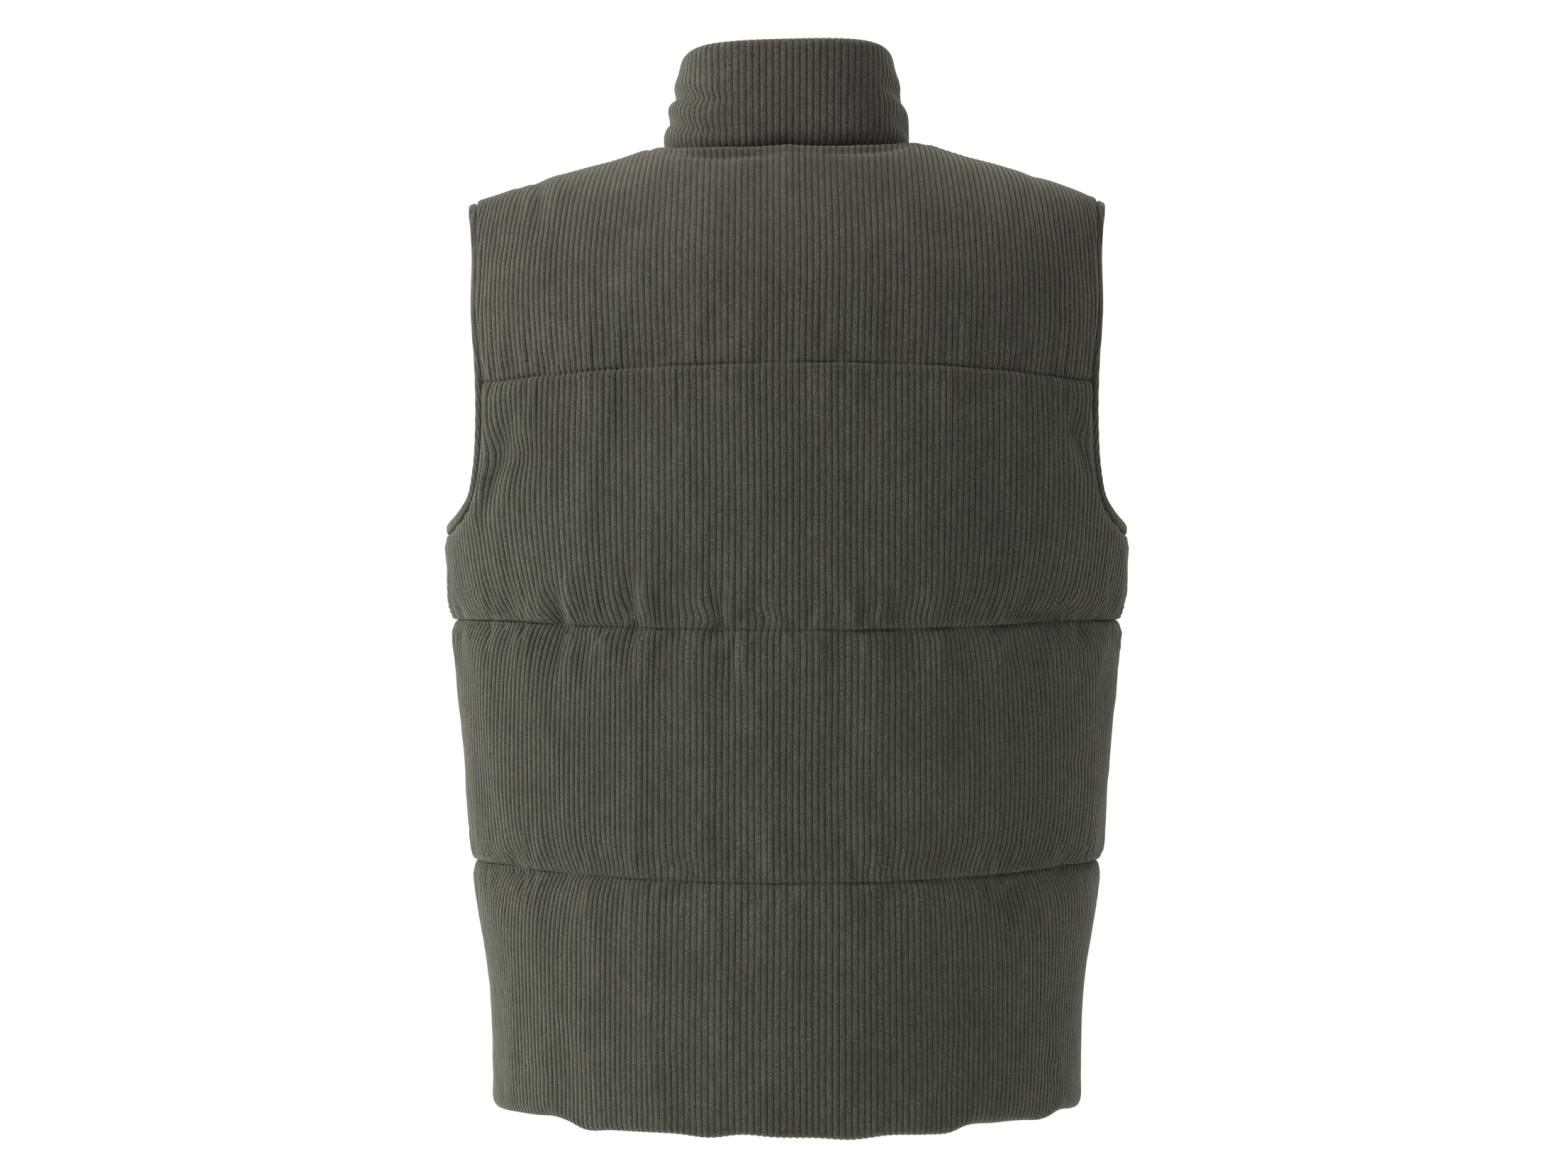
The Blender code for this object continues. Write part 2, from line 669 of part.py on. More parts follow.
def wall(name, outer, inner, material):
    """A closed wall between two grids of points."""
    build = bmesh.new()
    grids = settled(outer), settled(inner)
    faces = [[[build.verts.new(p) for p in row] for row in grid] for grid in grids]
    rows, columns = len(outer), len(outer[0])
    for grid in faces:
        for r in range(rows - 1):
            for c in range(columns - 1):
                build.faces.new([grid[r][c], grid[r][c + 1], grid[r + 1][c + 1], grid[r + 1][c]])
    rim = [(0, c) for c in range(columns)]
    rim += [(r, columns - 1) for r in range(1, rows)]
    rim += [(rows - 1, c) for c in range(columns - 2, -1, -1)]
    rim += [(r, 0) for r in range(rows - 2, 0, -1)]
    for (r, c), (s, d) in zip(rim, rim[1:] + rim[:1]):
        build.faces.new([faces[0][r][c], faces[0][s][d], faces[1][s][d], faces[1][r][c]])
    return add_piece(name, build, material)


def loop_tube(name, rings, material):
    """A closed tube that runs round into itself."""
    build = bmesh.new()
    verts = [[build.verts.new(p) for p in ring] for ring in settled(rings)]
    for ring, following in zip(verts, verts[1:] + verts[:1]):
        for k in range(len(ring)):
            n = (k + 1) % len(ring)
            build.faces.new([ring[k], ring[n], following[n], following[k]])
    return add_piece(name, build, material)


def mirrored(points):
    return points * np.array([-1, 1, 1])


# ---------------------------------------------------------------- hard pieces of the zip
def block(name, material, width, thickness, length, middle=(0, 0, 0), corner=0.0):
    """A plate or bar about a middle point, with the corners of its face rounded."""
    build = bmesh.new()
    bmesh.ops.create_cube(build, size=1)
    bmesh.ops.scale(build, vec=(width, thickness, length), verts=build.verts)
    if corner:
        edges = [e for e in build.edges if abs(e.verts[0].co.y - e.verts[1].co.y) > thickness / 2]
        bmesh.ops.bevel(build, geom=edges, offset=corner, segments=3, affect="EDGES", profile=0.5)
    bmesh.ops.translate(build, vec=middle, verts=build.verts)
    return add_piece(name, build, material, smooth=False)


def combine(piece, helper, operation):
    """Join or cut a piece with a hidden helper that stays in its frame."""
    helper.parent = piece
    helper.hide_render = True
    helper.display_type = "WIRE"
    change = piece.modifiers.new(helper.name, "BOOLEAN")
    change.operation = operation
    change.object = helper


def build_slider(metal):
    """Two plates held apart by a post, and a bridge on the front one for the pull tab."""
    plate_y = (MOUTH + PLATE_THICKNESS) / 2
    size = PLATE_WIDTH, PLATE_THICKNESS, PLATE_LENGTH
    slider = block("zip_slider", metal, *size, (0, -plate_y, 0), PLATE_CORNER)
    back = block("guide_back_plate", metal, *size, (0, plate_y, 0), PLATE_CORNER)
    post_z = PLATE_LENGTH / 2 - SUNK - POST_LENGTH / 2
    post_y = MOUTH + 2 * SUNK
    post = block("guide_post", metal, POST_WIDTH, post_y, POST_LENGTH, (0, 0, post_z))
    face_y = -plate_y - PLATE_THICKNESS / 2
    leg_y = face_y + (SUNK - BRIDGE_ROOM - SUNK) / 2
    leg_size = BRIDGE_WIDTH, BRIDGE_ROOM + 2 * SUNK, BRIDGE_THICKNESS
    leg_z = (BRIDGE_LENGTH - BRIDGE_THICKNESS) / 2
    bar_y = face_y - BRIDGE_ROOM - BRIDGE_THICKNESS / 2
    bar_size = BRIDGE_WIDTH, BRIDGE_THICKNESS, BRIDGE_LENGTH
    helpers = [
        back,
        post,
        block("guide_bridge_foot", metal, *leg_size, (0, leg_y, -leg_z)),
        block("guide_bridge_head", metal, *leg_size, (0, leg_y, leg_z)),
        block("guide_bridge_bar", metal, *bar_size, (0, bar_y, 0)),
    ]
    for helper in helpers:
        combine(slider, helper, "UNION")
    slider.matrix_world = slider_place()
    return slider


def build_pull_tab(metal):
    """A flat tab that hangs by its eye from the slider's bridge; its origin is on the hinge."""
    bar = TAB_THICKNESS
    middle_z = bar / 2 - TAB_LENGTH / 2
    size = TAB_WIDTH, TAB_THICKNESS, TAB_LENGTH
    tab = block("zip_pull_tab", metal, *size, (0, 0, middle_z), TAB_CORNER)
    eye_z = -(bar / 2 + EYE_REACH) / 2
    eye_size = EYE_WIDTH, TAB_THICKNESS * 2, EYE_REACH - bar / 2
    combine(tab, block("guide_eye", metal, *eye_size, (0, 0, eye_z)), "DIFFERENCE")
    hinge_y = -(MOUTH / 2 + PLATE_THICKNESS + BRIDGE_ROOM / 2)
    hinge = Vector((0, hinge_y, HINGE_ABOVE_MIDDLE)) * MM
    tab.matrix_world = slider_place() @ Matrix.Translation(hinge)
    return tab


def build_zip(tape_cloth, metal):
    outer, inner = tape_faces()
    wall("zip_tape_left", outer, inner, tape_cloth)
    wall("zip_tape_right", mirrored(outer), mirrored(inner), tape_cloth)
    build_slider(metal)
    build_pull_tab(metal)
    box = block("zip_box", metal, BOX_WIDTH, BOX_THICKNESS, BOX_LENGTH, corner=1.0)
    box.matrix_world = box_place()


# ---------------------------------------------------------------- the model
def clear_scene():
    for thing in list(bpy.data.objects):
        bpy.data.objects.remove(thing, do_unlink=True)


def build_cloth(corduroy, binding):
    wall("back", *panel_faces(BACK), corduroy)
    outer, inner = panel_faces(FRONT)
    wall("front_left", outer, inner, corduroy)
    wall("front_right", mirrored(outer), mirrored(inner), corduroy)
    wall("collar", *collar_faces(), corduroy)
    rings = band_rings()
    loop_tube("armhole_band_left", rings, binding)
    loop_tube("armhole_band_right", mirrored(rings), binding)


def main():
    clear_scene()
    build_cloth(
        finish("cotton_corduroy", "46453F", 0.95), finish("corduroy_binding", "403F38", 0.95)
    )
    build_zip(
        finish("woven_zip_tape", "33322C", 0.85), finish("blackened_zinc", "2B2B2A", 0.4, 0.9)
    )


main()
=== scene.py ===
"""The looks of a padded corduroy vest, filled out as worn, with its back to the camera.

Every cloth is laid out in millimetres on the vest's own form by two lengths: `across`, the way
round from the centre back or front, and `up`, the way up a column from the chest line. Meshes are
written in metres.
"""
from collections import namedtuple
from math import pi, radians

import bpy
import numpy as np
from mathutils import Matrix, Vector


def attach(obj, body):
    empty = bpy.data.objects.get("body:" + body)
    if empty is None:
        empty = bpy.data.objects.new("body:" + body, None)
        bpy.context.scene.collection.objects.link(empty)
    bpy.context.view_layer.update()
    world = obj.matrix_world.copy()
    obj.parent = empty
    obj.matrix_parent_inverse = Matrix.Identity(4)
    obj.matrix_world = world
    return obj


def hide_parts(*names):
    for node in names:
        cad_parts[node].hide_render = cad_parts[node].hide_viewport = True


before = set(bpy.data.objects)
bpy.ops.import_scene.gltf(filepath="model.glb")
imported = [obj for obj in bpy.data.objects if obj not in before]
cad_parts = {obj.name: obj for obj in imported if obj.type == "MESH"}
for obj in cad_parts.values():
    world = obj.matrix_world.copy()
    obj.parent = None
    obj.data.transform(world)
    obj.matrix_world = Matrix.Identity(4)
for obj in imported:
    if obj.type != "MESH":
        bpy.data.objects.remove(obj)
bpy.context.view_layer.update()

MM = 0.001
BACK, FRONT = 1, -1
SEAM_GAP = 0.3
# How far pieces of cloth that are sewn together reach into each other
SEAM_LAP = 0.2

# ---------------------------------------------------------------- sizes of the form
CHEST_LINE = -200.0
HEM = -671.0
HEM_BACK_DROP = 5.0
HEM_DROP_HALF_WIDTH = 170.0

# Rings below the chest line, from the chest down to the hem
Ring = namedtuple("Ring", "height half_width back_depth front_depth")
RINGS = [
    Ring(-200, 235, 135, 133),
    Ring(-272, 235, 137, 138),
    Ring(-340, 230, 134, 134),
    Ring(-430, 221, 134, 132),
    Ring(-508, 215, 138, 134),
    Ring(-590, 203, 146, 140),
    Ring(-673, 200, 152, 146),
]

# The line along the top of the shoulders, where back and front meet
Ridge = namedtuple("Ridge", "half_width height")
RIDGE = [
    Ridge(0, 14),
    Ridge(50, 8),
    Ridge(88, -4),
    Ridge(114, -13),
    Ridge(143, -21),
    Ridge(182, -32),
    Ridge(235, -50),
]
SHOULDER_SEAM_Y = -12.0
BACK_SQUARENESS = 2.2
FRONT_SQUARENESS_MIDDLE = 1.75
FRONT_SQUARENESS_SIDE = 2.1
FRONT_SQUARE_FROM = 120.0
# The outermost columns keep this square of a share of the chest's depth
COLUMN_LEAST = 0.01

# The neck opening in plan, and the collar's rim
NECK_HALF_WIDTH = 84.0
NECK_BACK_Y = 66.0
NECK_FRONT_Y = -99.0
NECK_BACK_SQUARENESS = 2.8
NECK_FRONT_SQUARENESS = 2.2
RIM_HALF_WIDTH = 69.0
RIM_BACK_Y = 60.0
RIM_FRONT_Y = -90.0
RIM_BACK_HEIGHT = 67.0
RIM_FRONT_DROP = 73.0
RIM_DROP_POWER = 2.4

# The armhole's seam, by how far it lies from the side seam's line
Armhole = namedtuple("Armhole", "height from_side")
ARMHOLE = [
    Armhole(-274.1, 0),
    Armhole(-271.2, 22.5),
    Armhole(-263.6, 45.5),
    Armhole(-250.2, 61.8),
    Armhole(-232.5, 67.5),
    Armhole(-200, 70.1),
    Armhole(-160, 69.1),
    Armhole(-120, 64.1),
    Armhole(-80, 64.1),
]
ARMHOLE_TIP_X = 217.9
ARMHOLE_LINE_POINTS = 61
FRONT_SCOOP = 6.0
SCOOP_FROM, SCOOP_REACH = -282.0, 200.0

# How the filled vest sits a little uneven: its left shoulder is low and its right one high
SHOULDER_TILT = 2.2
TILT_WAVE = 260.0
TILT_FROM, TILT_FULL = -250.0, -60.0

# Quilting lines: the height at the centre and at the panel's edge, how far the stitches pull the
# padding in at both, and over what reach it rises again above and below them
Quilting = namedtuple("Quilting", "centre edge pull edge_pull above below")
BACK_LINES = [
    Quilting(-508, -501, 0.46, 0.95, 18, 30),
    Quilting(-339, -333, 0.62, 1.0, 20, 32),
    Quilting(-161, -169, 0.44, 0.8, 46, 13),
]
FRONT_LINES = [
    Quilting(-508, -501, 0.60, 1.0, 15, 34),
    Quilting(-339, -333, 0.75, 1.0, 17, 36),
    Quilting(-169, -169, 0.45, 0.75, 22, 30),
]
LINE_ARCH_AT = 206.0
PULL_FROM, PULL_FULL = 120.0, 235.0

# The padded wall, out and in from the form
CREST_OUT, CREST_IN = 6.0, -7.0
STITCHED_OUT, STITCHED_IN = 0.5, -2.5
RISE_FROM_SEAM = 18.0
RISE_FROM_SIDE_SEAM = 14.0
RISE_FROM_ARMHOLE = 9.0
SIDE_SEAM_PULL = 0.35
RISE_FROM_NECK = 18.0
HEM_ROUND = 7.0
# Beside the upper armhole the padding is tight: over what reach it rises, from how full, and
# between what lengths up this sets in; then the same at the shoulder's tip
TIGHT_RISE, TIGHT_FLOOR, TIGHT_FROM, TIGHT_FULL = 3.4, 0.4, 20.0, 110.0
TIP_RISE, TIP_FLOOR, TIP_REACH = 8.0, 0.3, 26.0

COLLAR_HALF_THICKNESS = 7.0
COLLAR_RISE = 12.0
BAND_HALF_WIDTH = 3.5
BAND_HALF_THICKNESS = 5.2

# The zip's middle strip
FRONT_EDGE = 6.0
ZIP_FACING = 16.0
TAPE_THICKNESS = 0.8
TAPE_DEPTH = STITCHED_IN - SEAM_GAP - TAPE_THICKNESS / 2

# ---------------------------------------------------------------- the corduroy
# Six ribs to the inch, each a round cord of cut pile with a narrow furrow on either side
WALE = 4.25
COLLAR_WALE = 4.5
RELIEF = 0.78
# Towards the sides the ribs stand closer together and a little higher
RELIEF_ASIDE, ASIDE_FROM, ASIDE_REACH = 0.6, 60.0, 130.0
# Where a rib's columns lie, as shares of its width from the furrow, and how high each stands
Rib = namedtuple("Rib", "place height")
RIB = [Rib(0.0, 0.0), Rib(0.11, 0.66), Rib(0.32, 1.0), Rib(0.68, 1.0), Rib(0.89, 0.66)]
# The share of a rib's height that lies at the cloth's own level
RIB_LEVEL = 0.6


# ---------------------------------------------------------------- small mathematics
def curve_through(at, values):
    """A smooth curve through a few points: a function of numpy arrays, level past both ends."""
    at, values = np.asarray(at, float), np.asarray(values, float)
    if at[0] > at[-1]:
        at, values = at[::-1], values[::-1]
    slopes = np.gradient(values, at)

    def curve(x):
        x = np.clip(x, at[0], at[-1])
        k = np.clip(np.searchsorted(at, x) - 1, 0, len(at) - 2)
        step = at[k + 1] - at[k]
        f = (x - at[k]) / step
        rise = values[k] * (1 + 2 * f) * (1 - f) ** 2 + values[k + 1] * f * f * (3 - 2 * f)
        return rise + step * f * (1 - f) * (slopes[k] * (1 - f) - slopes[k + 1] * f)

    return curve


def arc_speeds(a, b):
    """The mean and first two waves of an ellipse's arc length for each radian."""
    middle = np.sqrt((a * a + b * b) / 2)
    return (a + 2 * middle + b) / 4, (a - b) / 2, (a - 2 * middle + b) / 4


def arc_length(angle, a, b):
    """Arc length of the ellipse (a sin, b cos) from angle 0."""
    mean, twice, four = arc_speeds(a, b)
    return mean * angle + twice / 2 * np.sin(2 * angle) + four / 4 * np.sin(4 * angle)


NEWTON_ROUNDS = 5


def arc_angle(length, a, b):
    """The angle at an arc length, by Newton's method."""
    mean, twice, four = arc_speeds(a, b)
    angle = length / mean
    for _ in range(NEWTON_ROUNDS):
        speed = mean + twice * np.cos(2 * angle) + four * np.cos(4 * angle)
        angle = angle - (arc_length(angle, a, b) - length) / speed
    return angle


def rounded(distance, reach):
    """From 0 to 1 over a reach, as a quarter circle rises."""
    f = np.clip(distance / reach, 0, 1)
    return np.sqrt(f * (2 - f))


def eased(distance, reach):
    """From 0 to 1 over a reach, as a sine rises."""
    return np.sin(pi / 2 * np.clip(distance / reach, 0, 1))


def smooth(f):
    """From 0 to 1 with level ends."""
    f = np.clip(f, 0, 1)
    return f * f * (3 - 2 * f)


def ramp(value, start, end):
    """From 0 at a start to 1 at an end, level at both."""
    return smooth((value - start) / (end - start))


def unit(vectors):
    return vectors / np.linalg.norm(vectors, axis=-1, keepdims=True)


def lengths_along(points):
    """How far along a line of points each one lies."""
    return np.concatenate([[0], np.cumsum(np.linalg.norm(np.diff(points, axis=0), axis=-1))])


def even(values, length, at):
    """Values known at some lengths along a line, read off at others."""
    return np.stack([np.interp(at, length, column) for column in values.T], axis=-1)


def nearest_on(line, across, up):
    """The nearest points of a line of points, on the flat cloth, and how far away they are."""
    start, step = line[:-1], np.diff(line, axis=0)
    length = np.maximum((step**2).sum(-1), 1e-9)
    point = np.stack([across, up], axis=-1)[..., None, :]
    along = np.clip(((point - start) * step).sum(-1) / length, 0, 1)
    near = start + along[..., None] * step
    away = np.linalg.norm(point - near, axis=-1)
    best = away.argmin(-1)[..., None]
    return (
        np.take_along_axis(near, best[..., None], axis=-2)[..., 0, :],
        np.take_along_axis(away, best, axis=-1)[..., 0],
    )


# ---------------------------------------------------------------- the form
heights = [ring.height for ring in RINGS]
half_width_at = curve_through(heights, [ring.half_width for ring in RINGS])
back_depth_at = curve_through(heights, [ring.back_depth for ring in RINGS])
front_depth_at = curve_through(heights, [ring.front_depth for ring in RINGS])
ridge_at = curve_through([r.half_width for r in RIDGE], [r.height for r in RIDGE])


def depth_at(height, side):
    return back_depth_at(height) if side == BACK else front_depth_at(height)


def quarter(height, side):
    """Length of a quarter ring, from the centre to the side seam."""
    return arc_length(pi / 2, half_width_at(height), depth_at(height, side))


def squareness(x, side):
    """How square a column's roll over the shoulder is: 2 is an ellipse."""
    if side == BACK:
        return np.full_like(x, BACK_SQUARENESS)
    outward = np.clip(np.abs(x) / FRONT_SQUARE_FROM, 0, 1)
    middle, edge = FRONT_SQUARENESS_MIDDLE, FRONT_SQUARENESS_SIDE
    return middle + (edge - middle) * outward**2


def column_depth(x, side):
    """How far a column stands from the ridge at the chest line."""
    wide = half_width_at(CHEST_LINE)
    return depth_at(CHEST_LINE, side) * np.sqrt(np.clip(1 - (x / wide) ** 2, COLUMN_LEAST, 1))


def column_rise(x):
    return ridge_at(np.abs(x)) - CHEST_LINE


def roll_length(x, side):
    """Length of a column from the chest line to the ridge."""
    return arc_length(pi / 2, column_rise(x), column_depth(x, side))


def roll_shape(x, over, side):
    """A column's depth and squareness, which past the ridge are the other side's."""
    return (
        np.where(over, column_depth(x, -side), column_depth(x, side)),
        np.where(over, squareness(x, -side), squareness(x, side)),
    )


def yoke_point(x, up, side):
    """A point above the chest line. Past the ridge, a column runs down the other side."""
    own, other = roll_length(x, side), roll_length(x, -side)
    over = up > own
    depth, square = roll_shape(x, over, side)
    rise = column_rise(x)
    angle = arc_angle(np.where(over, own + other - up, up), rise, depth)
    near, high = np.abs(np.cos(angle)), np.sin(angle)
    size = (near**square + np.abs(high) ** square) ** (1 / square)
    y = np.where(over, -side, side) * depth * near / size
    return x, y, CHEST_LINE + rise * high / size


def ring_point(across, up, side):
    """A point below the chest line."""
    height = CHEST_LINE + up
    wide, deep = half_width_at(height), depth_at(height, side)
    angle = arc_angle(across, wide, deep)
    return wide * np.sin(angle), side * deep * np.cos(angle), height


def column_x(across, side):
    wide, deep = half_width_at(CHEST_LINE), depth_at(CHEST_LINE, side)
    return wide * np.sin(arc_angle(across, wide, deep))


def form(across, up, side):
    """The form's surface: an array of points for arrays of cloth lengths."""
    low = ring_point(across, np.minimum(up, 0), side)
    high = yoke_point(column_x(across, side), np.maximum(up, 0), side)
    return np.stack([np.where(up > 0, h, l) for h, l in zip(high, low)], axis=-1)


def outward(surface, u, v, flip):
    """Unit normals of a surface of two cloth lengths."""
    step = 0.5
    along_u = surface(u + step, v) - surface(u - step, v)
    along_v = surface(u, v + step) - surface(u, v - step)
    return unit(flip * np.cross(along_u, along_v))


def form_normal(across, up, side):
    return outward(lambda a, u: form(a, u, side), across, up, -side)


def across_of(x, side):
    """The cloth length of a column above the chest line, from its x."""
    wide, deep = half_width_at(CHEST_LINE), depth_at(CHEST_LINE, side)
    return arc_length(np.arcsin(x / wide), wide, deep)


def up_of(x, y, side):
    """The cloth length up a column, from where it passes over a place in plan."""
    over = y * side < 0
    depth, square = roll_shape(x, over, side)
    near = np.clip(np.abs(y) / depth, 0, 1)
    high = (1 - near**square) ** (1 / square)
    length = arc_length(np.arctan2(high, near), column_rise(x), depth)
    return np.where(over, roll_length(x, side) + roll_length(x, -side) - length, length)


def settled(points):
    """Points of the even form, moved to where the uneven vest has them."""
    x, z = points[..., 0], points[..., 2]
    drop = SHOULDER_TILT * np.sin(pi * x / TILT_WAVE) * ramp(z, TILT_FROM, TILT_FULL)
    return points - np.stack([0 * x, 0 * x, drop], axis=-1)


def placed(points, turned):
    """Points of the even form where the vest has them, turned over to its right side if asked."""
    return settled(points * np.array([-1, 1, 1]) if turned else points)


# ---------------------------------------------------------------- outlines on the cloth
def neck_plan(angle, half_width, back_y, front_y):
    """The neck's outline in plan: 0 is the centre back, pi/2 a shoulder seam, pi the centre front."""
    back = np.cos(angle) >= 0
    square = np.where(back, NECK_BACK_SQUARENESS, NECK_FRONT_SQUARENESS)
    reach = np.where(back, back_y, front_y) - SHOULDER_SEAM_Y
    wide, deep = np.abs(np.sin(angle)), np.abs(np.cos(angle))
    size = (wide**square + deep**square) ** (1 / square)
    return half_width * np.sin(angle) / size, SHOULDER_SEAM_Y + reach * deep / size


def front_turn(across):
    """The angle round the neck at a distance from the middle of the front."""
    return pi - np.arcsin(across / NECK_HALF_WIDTH)


def neck_seam(angle):
    """Where the collar joins the body, as points."""
    x, y = neck_plan(angle, NECK_HALF_WIDTH, NECK_BACK_Y, NECK_FRONT_Y)
    points = [form(across_of(x, s), up_of(x, y, s), s) for s in (BACK, FRONT)]
    return np.where((y > 0)[..., None], *points)


def armhole_line(side):
    """The armhole's seam from the side seam up to the shoulder's tip, as cloth lengths."""
    up = np.array([row.height - CHEST_LINE for row in ARMHOLE])
    from_side = np.array([row.from_side for row in ARMHOLE], float)
    if side == FRONT:
        share = (CHEST_LINE + up - SCOOP_FROM) / SCOOP_REACH
        from_side += FRONT_SCOOP * np.sin(pi * np.clip(share, 0, 1))
    across = quarter(CHEST_LINE + np.minimum(up, 0), side) - from_side
    tip_x = np.array(ARMHOLE_TIP_X)
    tip = across_of(tip_x, side), up_of(tip_x, np.array(SHOULDER_SEAM_Y), side)
    across, up = np.append(across, tip[0]), np.append(up, tip[1])
    along = np.concatenate([[0], np.cumsum(np.hypot(np.diff(across), np.diff(up)))])
    fine = np.linspace(0, along[-1], ARMHOLE_LINE_POINTS)
    return np.stack([curve_through(along, across)(fine), curve_through(along, up)(fine)], axis=-1)


ARMHOLES = {side: armhole_line(side) for side in (BACK, FRONT)}
# How far below the hem the lines down a panel's side start, and how many points lines have
OUTLINE_PAST_HEM, SEAM_PAST_HEM = 30.0, 20.0
OUTLINE_POINTS, SEAM_POINTS, NECK_POINTS = 16, 12, 25


def panel_top(across, side):
    """How far up each column of a panel reaches: to the neck seam or the shoulder seam."""
    x = np.abs(column_x(across, side))
    inside = np.clip(x / NECK_HALF_WIDTH, 0, 1)
    square = NECK_BACK_SQUARENESS if side == BACK else NECK_FRONT_SQUARENESS
    reach = (NECK_BACK_Y if side == BACK else NECK_FRONT_Y) - SHOULDER_SEAM_Y
    y = SHOULDER_SEAM_Y + reach * (1 - inside**square) ** (1 / square)
    return up_of(x, y, side)


def panel_side(up, side):
    """How far each row of a panel reaches: to the side seam or the armhole."""
    seam = quarter(CHEST_LINE + np.minimum(up, 0), side)
    line = ARMHOLES[side]
    return np.where(up < line[0, 1], seam, np.interp(up, line[:, 1], line[:, 0]))


def side_outline(side):
    """A panel's side seam and armhole as one line on the cloth."""
    armhole = ARMHOLES[side]
    up = np.linspace(HEM - CHEST_LINE - OUTLINE_PAST_HEM, armhole[0, 1], OUTLINE_POINTS)[:-1]
    return np.concatenate([np.stack([quarter(CHEST_LINE + up, side), up], axis=-1), armhole])


def seams(side):
    """A panel's seams as lines on the cloth, each with how its padding rises and over what reach."""
    armhole = ARMHOLES[side]
    seam_up = np.linspace(HEM - CHEST_LINE - SEAM_PAST_HEM, armhole[0, 1], SEAM_POINTS)
    side_seam = np.stack([quarter(CHEST_LINE + seam_up, side), seam_up], axis=-1)
    x = np.linspace(ARMHOLE_TIP_X, NECK_HALF_WIDTH, SEAM_POINTS)
    shoulder = np.stack([across_of(x, side), up_of(x, SHOULDER_SEAM_Y, side)], axis=-1)
    turn = np.linspace(pi / 2, 0 if side == BACK else pi, NECK_POINTS)
    x, y = neck_plan(turn, NECK_HALF_WIDTH, NECK_BACK_Y, NECK_FRONT_Y)
    neck = np.stack([across_of(x, side), up_of(x, y, side)], axis=-1)
    return {
        "side": (side_seam, rounded, RISE_FROM_SIDE_SEAM),
        "armhole": (armhole, rounded, RISE_FROM_ARMHOLE),
        "shoulder": (shoulder, rounded, RISE_FROM_SEAM),
        "neck": (neck, eased, RISE_FROM_NECK),
    }


def hem_up(across, side):
    """The hem's place on each column: the back hangs a little lower round its centre."""
    outer = np.clip(np.abs(across) / HEM_DROP_HALF_WIDTH, 0, 1)
    drop = HEM_BACK_DROP * (1 - outer**4) ** 2 if side == BACK else 0.0
    return HEM - CHEST_LINE - drop


def line_up(line, across):
    """A quilting line's place on each column."""
    outer = np.clip(np.abs(across) / LINE_ARCH_AT, 0, 1)
    return line.centre + (line.edge - line.centre) * outer**2 - CHEST_LINE


def pull_of(line, across):
    """How far the padding is drawn in on a quilting line at each column."""
    return line.pull + (line.edge_pull - line.pull) * ramp(np.abs(across), PULL_FROM, PULL_FULL)


def lines_of(side):
    return BACK_LINES if side == BACK else FRONT_LINES


def channel_edges(side, above_hem=0.0):
    """The edges of a panel's channels from the hem up, each as a function of its columns."""
    edges = [lambda across: hem_up(across, side) + above_hem]
    edges += [lambda across, line=line: line_up(line, across) for line in lines_of(side)]
    return edges + [lambda across: panel_top(across, side)]


# ---------------------------------------------------------------- how the cloth lies
# Where the quilting gathers the cloth, the ribs crowd towards the centre: by how much at the
# sides, and over what reach above and below the line, each as a broad and a sharp bend
Gather = namedtuple("Gather", "height share above below")
GATHERS = {
    BACK: [
        Gather(-165, 0.012, 18, 24),
        Gather(-336, 0.040, 34, 60),
        Gather(-336, 0.052, 14, 24),
        Gather(-505, 0.030, 34, 50),
        Gather(-505, 0.050, 12, 22),
        Gather(-676, 0.030, 30, 10),
    ],
    FRONT: [
        Gather(-169, 0.012, 18, 24),
        Gather(-336, 0.034, 34, 60),
        Gather(-336, 0.044, 13, 24),
        Gather(-505, 0.028, 34, 50),
        Gather(-505, 0.038, 12, 22),
        Gather(-671, 0.030, 30, 10),
    ],
}
GATHER_FROM, GATHER_FULL = 40.0, 200.0
# Down the body the ribs stand closer towards the sides
TAPER, TAPER_ASIDE = 0.09, 90.0
TAPER_FROM, TAPER_FULL = -250.0, -400.0

# Over a sloping shoulder the straight ribs spread a little, then turn towards the neck
LEAN_RADIUS = 34.0
SPLAY = 9.0
LEAN_FROM, LEAN_FULL = 55.0, 115.0

# No rib is quite straight: each wave's size, its lengths up and across, and where it starts
Wave = namedtuple("Wave", "size up across start")
WOBBLE = [Wave(0.22, 23, 61, 0), Wave(0.18, 37, -43, 1.3)]

